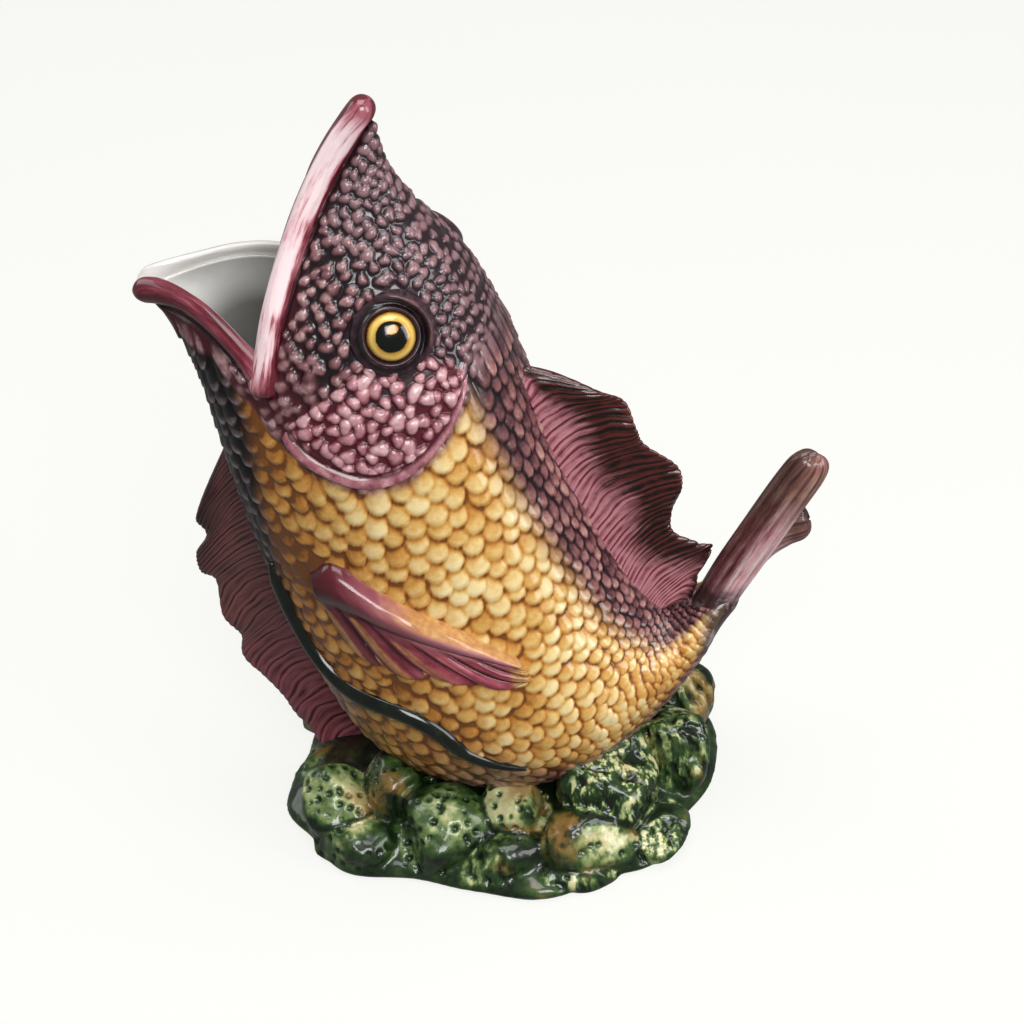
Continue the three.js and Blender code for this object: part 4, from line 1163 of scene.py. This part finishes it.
def tailLobe(name, spec, glaze, node, seed):
    share = np.linspace(0, 1, tail["rows"])
    path = tailRoot + through(spec["line"], share) * spec["reach"]
    tangent = unit(np.gradient(path, axis=0))
    wide = unit(np.cross(np.array([0, 1, 0]), tangent))
    wide, deep = turned(wide, np.cross(tangent, wide), spec["roll"])
    end = np.sqrt(np.clip(1 - share**26, 0.02, 1)) * blend(spec["neck"], 1.0, smooth(0.0, 0.3, share))
    swell = 0.97 + 0.05 * np.sin(math.pi * share)
    turn = fullTurn(tail["round"])
    groove = np.cos(11 * turn + seed)[None, :] * 0.22 + np.cos(23 * turn + 2 * seed)[None, :] * 0.12
    notch = 0.6 * np.cos(2 * turn + 0.8)[None, :] * smooth(0.9, 1.0, share)[:, None]
    groove = groove * (0.15 + 0.85 * smooth(1.0, 0.88, share))[:, None]
    stroke = groove * smooth(0.05, 0.3, share)[:, None]
    half = (spec["width"] / 2 * end * swell)[:, None] + stroke - notch * 0.5
    thick = (spec["thickness"] / 2 * end)[:, None] + stroke
    points = path[:, None] + wide[:, None] * (half * np.cos(turn))[..., None]
    points = points + deep[:, None] * (thick * np.sin(turn))[..., None]
    points = points + tangent[:, None] * notch[..., None]
    flow = np.broadcast_arrays(5 * np.cos(turn), 5 * np.sin(turn), arcLength(path)[:, None])
    layers = {"flow": np.stack(flow, -1), "run": share[:, None], "groove": groove, "edge": np.cos(turn)}
    return place(gridMesh(name, points, layers, wrap=True, caps=True), glaze, "tail_glaze", node)


# dim scales the painted shade along one edge of a bar; shade adds painted shade over the whole bar
def tailGlaze(name, dim, shade):
    g = Glaze(name, gloss=0.3)
    run, groove, edge = g.layers("run", "groove", "edge")
    streak = g.noise(0.9, 4.0, g.flow(), (1.0, 1.0, 0.07), 0.65)
    cloud = g.noise(90, 3.0)
    stroke = streak * 1.1 + groove * 0.5 + (cloud - 0.5) * 0.4
    rosy = g.ramp(stroke, (0.15, "85333f"), (0.36, "c47f88"), (0.54, "e6b3b8"), (0.8, "f4e0df"))
    brown = g.ramp(stroke, (0.2, "30181a"), (0.45, "6a4340"), (0.65, "96695d"), (0.9, "bf9c8c"))
    wine = g.ramp(stroke, (0.2, "3a0f18"), (0.45, "78323e"), (0.65, "a35a64"), (0.9, "d6a5a8"))
    rosy = g.mix((edge + (streak - 0.5) * 0.8).between(0.1, -0.6), rosy, wine)
    clouded = run + (cloud - 0.5) * 0.3
    tint = g.mix(clouded.between(0.45, 0.8), rosy, brown)
    tint = g.mix(clouded.between(0.26, 0.14) * 0.9, tint, stalkClouds(g))
    # darker along one edge of the bar and over the whole far bar: painted shade
    tint = g.mix((edge + (streak - 0.5) * 0.5).between(0.1, -0.95) * dim + shade, tint, "1d0c0c")
    return g.finish(tint, streak, 0.0004)


# Rock base: a wavy skirt, a mound and pitted boulders, melted into one body
rocks = {
    "middle": -13, "half": (75, 70), "squareness": 2.7, "skirt": (7, 2.5), "waves": 9, "waveDepth": 2.4,
    "mound": 24, "slope": 58, "foot": 14, "recess": 3, "boulder": 17, "skew": 0.3, "shrink": 0.97,
    "stoneGrid": (26, 40), "chips": 7, "chipDepth": 0.8, "voxel": 0.8, "soften": (5, 0.5), "fishGap": 0.6,
    "floor": (120.0, 60.0),  # half width and depth cut away
    "cuts": (1.3, 1.2),      # depth of pits and gouges
    "stones": [  # x, y, z, across, deep, high, paleness, gouges
        (-0.69, 0.59, 0.67, 0.88, 0.76, 0.71, 0.45, 0), (-0.61, 0.74, 0.33, 1.06, 0.71, 0.53, 0.6, 0.2),
        (-0.4, 0.54, 0.79, 0.76, 0.71, 0.76, 0.3, 0), (-0.16, 0.74, 0.5, 1, 0.88, 0.88, 0.35, 0),
        (0.17, 0.64, 0.67, 0.71, 0.65, 0.82, 1.0, 0), (0.13, 0.83, 0.29, 1, 0.59, 0.59, 0.5, 0.4),
        (0.52, 0.73, 0.46, 1, 0.76, 0.71, 0.95, 0.2), (0.6, 0.49, 0.83, 1.18, 1, 1.06, 0.3, 1),
        (0.45, 0.84, 0.12, 0.94, 0.53, 0.41, 0.55, 1), (0.79, 0.57, 0.21, 0.82, 0.71, 0.41, 0.5, 1),
        (0.83, 0.16, 0.75, 0.76, 0.88, 1, 0.45, 0.6), (-0.83, 0.2, 0.0, 0.71, 0.88, 0.5, 0.4, 0),
    ],
}


def baseRing(inset, level, steps=220):
    turn = fullTurn(steps)
    wave = rocks["waveDepth"] * (np.cos(rocks["waves"] * turn) + 0.5 * np.cos(5 * turn)) - inset
    power = 2 / rocks["squareness"]
    x = rocks["middle"] + (rocks["half"][0] + wave) * np.sign(np.cos(turn)) * np.abs(np.cos(turn)) ** power
    y = (rocks["half"][1] + wave) * np.sign(np.sin(turn)) * np.abs(np.sin(turn)) ** power
    return np.stack([x, y, np.full(steps, float(level))], -1)


def stoneList():
    stones = []
    for sideSign in (-1, 1):
        for index, (x, y, z, across, deep, high, pale, gouged) in enumerate(rocks["stones"]):
            spot = np.array([x * rocks["half"][0], sideSign * y * rocks["half"][1], z * rocks["mound"]])
            turn = math.atan2(spot[1], spot[0]) + math.pi / 2 + rocks["skew"] * math.sin(3 * index + sideSign)
            size = np.array([across, deep, high]) * rocks["boulder"] * rocks["shrink"]
            tone = pale if sideSign < 0 else 1.15 - pale
            stones.append((spot + (rocks["middle"], 0, 0), turn, size, tone, gouged))
    return stones


def stoneMesh(spot, turn, size, seed):
    tilt = np.linspace(0, math.pi, rocks["stoneGrid"][0])[1:-1, None]
    spin = fullTurn(rocks["stoneGrid"][1])[None, :]
    ball = np.stack([np.sin(tilt) * np.cos(spin), np.sin(tilt) * np.sin(spin), np.cos(tilt) + 0 * spin], -1)
    ball = np.sign(ball) * np.abs(ball) ** 0.8
    chips = np.random.default_rng(100 + seed)
    for _ in range(rocks["chips"]):
        facing = unit(chips.normal(0, 1, 3) * (1, 1, 0.8))
        over = np.maximum(ball @ facing - chips.uniform(0.62, 0.85), 0)
        ball = ball - facing * (rocks["chipDepth"] * over)[..., None]
    ball = ball * (1.06 + 0.09 * waves(ball + seed, 0.8, 11) + 0.05 * waves(ball + seed, 0.4, 12))[..., None]
    ball = ball * size
    x, y = turned(ball[..., 0], ball[..., 1], -turn)
    return gridMesh("stone", np.stack([x, y, ball[..., 2]], -1) + spot, wrap=True, caps=True)


def applied(piece):  # the mesh after its modifiers
    graph = bpy.context.evaluated_depsgraph_get()
    return bpy.data.meshes.new_from_object(piece.evaluated_get(graph))


def rockMass(stones):
    skirtHigh, skirtRound = rocks["skirt"]
    levels = [(skirtRound / 2, 0.0), (0, skirtRound), (skirtRound / 2, skirtHigh - skirtRound)]
    levels += [(rocks["slope"] * s, blend(skirtHigh, rocks["mound"], s)) for s in (0.2, 0.5, 1.0)]
    rings = np.stack([baseRing(inset, level) for inset, level in levels])
    pieces = [gridMesh("skirt", rings, wrap=True, caps=True)]
    pieces += [stoneMesh(*stone[:3], seed) for seed, stone in enumerate(stones)]
    mass = pieces[0]
    with bpy.context.temp_override(active_object=mass, selected_editable_objects=pieces, object=mass):
        bpy.ops.object.join()
    remesh = mass.modifiers.new("melt", "REMESH")
    remesh.mode = "VOXEL"
    remesh.voxel_size = rocks["voxel"] * mm
    soften = mass.modifiers.new("soften", "SMOOTH")
    soften.iterations, soften.factor = rocks["soften"]
    return mass


def fishCutter():
    angle = np.linspace(-math.pi, math.pi, 97)[:-1]
    along = np.linspace(0.3, 1.0, 90)[:, None]
    points = skin(along, np.broadcast_to(angle, (90, 96)), -rocks["fishGap"])
    return gridMesh("fish_cutter", points, wrap=True, caps=True)


def floorCutter():
    half, deep = rocks["floor"]
    ring = np.array([(-1, -1), (1, -1), (1, 1), (-1, 1)]) * half
    points = np.stack([np.column_stack([ring, np.full(4, level)]) for level in (-deep, 0.0)])
    return gridMesh("floor_cutter", points, wrap=True, caps=True)


def footCutter():
    points = np.stack([baseRing(rocks["foot"], level) for level in (-1, rocks["recess"])])
    return gridMesh("foot_cutter", points, wrap=True, caps=True)


def meshVectors(items, key):
    flat = np.zeros(len(items) * 3, np.float32)
    items.foreach_get(key, flat)
    return flat.reshape(-1, 3).astype(float)


def rockBase(glaze):
    stones = stoneList()
    mass = rockMass(stones)
    cutters = [fishCutter(), floorCutter(), footCutter()]
    for cutter in cutters:
        cut = mass.modifiers.new("cut", "BOOLEAN")
        cut.operation = "DIFFERENCE"
        cut.solver = "MANIFOLD"
        cut.object = cutter
    mesh = applied(mass)
    for spare in [mass] + cutters:
        bpy.data.objects.remove(spare)
    points = meshVectors(mesh.vertices, "co") / mm - shift
    normals = meshVectors(mesh.vertex_normals, "vector")
    fromStone, nearStone = np.full((2, len(points)), 9.0)
    pale, gouged = np.zeros((2, len(points)))
    for spot, turn, size, tone, cut in stones:
        away = points - spot
        x, y = turned(away[:, 0], away[:, 1], turn)
        distance = np.linalg.norm(np.stack([x, y, away[:, 2]], -1) / size, axis=-1)
        closer = distance < fromStone
        nearStone = np.where(closer, fromStone, np.minimum(nearStone, distance))
        pale = np.where(closer, tone, pale)
        gouged = np.where(closer, cut, gouged)
        fromStone = np.minimum(fromStone, distance)
    onStone = smooth(1.25, 1.02, fromStone) * smooth(0.03, 0.16, nearStone - fromStone)
    free = smooth(0.8, 4.0, points[:, 2]) * smooth(-0.5, 0.1, normals[:, 2])
    pitted = smooth(-0.8, -0.2, waves(points, 11, 31))  # parts of a stone have no pits
    pits = smooth(0.46, 0.2, pitDistance(points, 3.7, 21)) * pitted * (1 - gouged)
    slanted = points * (1, 1, 0.2) + points[:, 2:3] * (0.3, 0.1, 0)
    gouges = smooth(0.05, 0.55, waves(slanted, 2.0, 41)) * smooth(0.1, 0.6, gouged)
    lumps = waves(points, 8, 51) * 0.5 + waves(points, 3.2, 52) * 0.3
    pitDeep, gougeDeep = rocks["cuts"]
    level = (-pitDeep * pits - gougeDeep * gouges + lumps * 0.8) * onStone + lumps * 0.9 * (1 - onStone)
    points = points + normals * (level * free)[:, None]
    mesh.vertices.foreach_set("co", ((points + shift) * mm).astype(np.float32).ravel())
    layers = {
        "pit": np.maximum(pits, gouges) * onStone, "stone": onStone, "pale": pale, "lump": lumps,
        "level": points[:, 2] / 40, "facing": normals[:, 2], "gouged": gouged * onStone,
    }
    for name, values in layers.items():
        mesh.attributes.new(name, "FLOAT", "POINT").data.foreach_set("value", values.astype(np.float32))
    mesh.shade_smooth()
    mesh.materials.clear()
    return place(linked("rock_mass", mesh), glaze, "rock_glaze", "rock_base")


def rockGlaze():
    g = Glaze("rock_glaze", gloss=0.28)
    pit, stone, pale, lump = g.layers("pit", "stone", "pale", "lump")
    facing, level, gouged = g.layers("facing", "level", "gouged")
    brush = g.noise(260, 5.0, rough=0.65)
    patch = g.noise(70, 4.0)
    stain = g.noise(34, 3.0)
    # top: upward faces are paler as painted light from above; stone: the channels between the boulders are
    # darker as painted shade
    top = facing.between(-0.2, 0.75)
    bare = stone * (0.2 + pale * 0.55 + top * 0.3) + (patch - 0.5) * 1.7 + (brush - 0.5) * 0.9
    bare = bare + lump * 0.3 - pit * 0.8 + (1 - stone) * level.between(0.34, 0.16) * 0.3
    strokes = g.noise(420, 3.0, stretch=(1.0, 1.0, 0.14)).between(0.4, 0.62)
    bare = bare + (strokes - 0.45) * gouged * 0.9
    tint = g.ramp(bare * 0.76, (0.0, "101d0b"), (0.26, "243b1b"), (0.47, "41592d"), (0.64, "7a8d58"),
                  (0.82, "c4c48e"), (1.0, "e0d9aa"))
    amber = (stain + (pale - 0.5) * 0.22 + (patch - 0.5) * 0.3).between(0.58, 0.76)
    amber = amber * (bare + 0.1).between(0.1, 0.6)
    tint = g.mix(amber * 0.7, tint, g.mix(brush, "7d4f1c", "bd9152"))
    tint = g.mix(facing.between(-0.4, -0.9), tint, "cfc3ab")  # the foot is unglazed
    return g.finish(tint, brush * 0.7 + patch * 0.3, 0.0005)


# Camera, floor and soft light
view = {
    "azimuth": 11.6, "elevation": 37.3, "roll": 5.6, "lens": 84.4, "sensor": 36, "distance": 810,
    "target": (-0.7, 0, 112.7),
}
lamps = {  # place, aim, size in metres, watts
    "key": ((0.35, -0.85, 1.0), (0, 0, 0.12), (0.6, 0.5), 10),
    "top": ((0.0, 0.1, 1.25), (0, 0, 0.1), (0.8, 0.8), 9),
    "side": ((1.0, -0.35, 0.55), (0, 0, 0.12), (0.4, 0.8), 5.5),
    "front": ((-1.0, 0.35, 0.75), (0, 0, 0.15), (0.6, 0.6), 2.5),
}
floorReach = 15000


def photoCamera():
    azimuth, elevation, lean = (math.radians(view[name]) for name in ("azimuth", "elevation", "roll"))
    right = np.array([math.cos(azimuth), math.sin(azimuth), 0])
    back = np.array([math.sin(azimuth) * math.cos(elevation), -math.cos(azimuth) * math.cos(elevation),
                     math.sin(elevation)])
    up = np.cross(back, right)
    camera = linked("camera", bpy.data.cameras.new("camera"))
    camera.data.lens = view["lens"]
    camera.data.sensor_width = view["sensor"]
    matrix = np.identity(4)
    matrix[:3, :3] = np.array([*turned(right, up, -lean), back]).T
    matrix[:3, 3] = (np.array(view["target"]) + shift + back * view["distance"]) * mm
    camera.matrix_world = Matrix(matrix.tolist())
    bpy.context.scene.camera = camera


def softBox(name, spot, aim, size, power):
    lamp = bpy.data.lights.new(name, "AREA")
    lamp.shape = "RECTANGLE"
    lamp.size, lamp.size_y = size
    lamp.energy = power
    box = linked(name, lamp)
    box.location = spot
    box.rotation_euler = (Vector(aim) - Vector(spot)).to_track_quat("-Z", "Y").to_euler()


def studio():
    world = bpy.data.worlds.new("studio")
    world.use_nodes = True
    background = world.node_tree.nodes["Background"].inputs
    background["Color"].default_value = (0.95, 0.96, 0.95, 1)
    background["Strength"].default_value = 0.2
    bpy.context.scene.world = world
    bpy.context.scene.view_settings.view_transform = "Standard"
    for name, lamp in lamps.items():
        softBox(name, *lamp)
    ends = (-floorReach, floorReach)
    corners = np.array([[(x, y, 0.0) for x in ends] for y in ends], float)
    floor = gridMesh("floor", corners, outward=np.array([0, 0, 1.0]))
    paper = Glaze("floor_paper", gloss=0.9, coat=0.0)
    paper.fill(paper.shader.inputs, {"Emission Color": colour("f8f8f4"), "Emission Strength": 0.87})
    grain = paper.ramp(paper.noise(3, 2.0), (0.3, "646462"), (0.7, "666664"))
    floor.data.materials.append(paper.finish(grain))
    floor.visible_glossy = False  # the white floor would veil the dark glazes
    floor.visible_diffuse = False


print("camera and studio")
photoCamera()
studio()
faceStamps = noduleStamps()
skinStamps = scaleStamps() + faceStamps
print(len(skinStamps), "scales and nodules")
plateStamps = [s for s in faceStamps if s["along"] > 0.2 and s["angle"] > 0.45]
glazes = {
    "fish": fishGlaze(), "inside": insideGlaze(), "upperLip": upperLipGlaze(), "lowerLip": lowerLipGlaze(),
    "eye": eyeGlaze(), "lid": lidGlaze(), "gill": gillGlaze(), "pectoral": pectoralGlaze(), "weed": weedGlaze(),
}
print("body and head")
jugInside(glazes["inside"])
for label, mirror in sides.items():
    fishSide(label, mirror, skinStamps, glazes["fish"])
    upperLipRoll(label, mirror, glazes["upperLip"])
    lowerLipRoll(label, mirror, glazes["lowerLip"])
    eyeball(label, mirror, glazes["eye"])
    eyelid(label, mirror, glazes["lid"])
    gillCover(label, mirror, plateStamps, glazes["gill"])
    pectoralFin(label, mirror, glazes["pectoral"])
    weedStrand(label, mirror, glazes["weed"])
print("fins and tail")
finWeb("dorsal_web", dorsal, dorsalGlaze(), "dorsal_fin")
finWeb("belly_web", belly, bellyGlaze(), "belly_fin")
tailLobe("tail_near_bar", upperTail, tailGlaze("tail_near_glaze", 0.7, 0.0), "tail_upper_lobe", 1.0)
# the far bar, behind the near one, gets more painted shade
tailLobe("tail_far_bar", lowerTail, tailGlaze("tail_far_glaze", 0.5, 0.45), "tail_lower_lobe", 2.0)
print("rocks")
rockBase(rockGlaze())

bpy.context.view_layer.update()
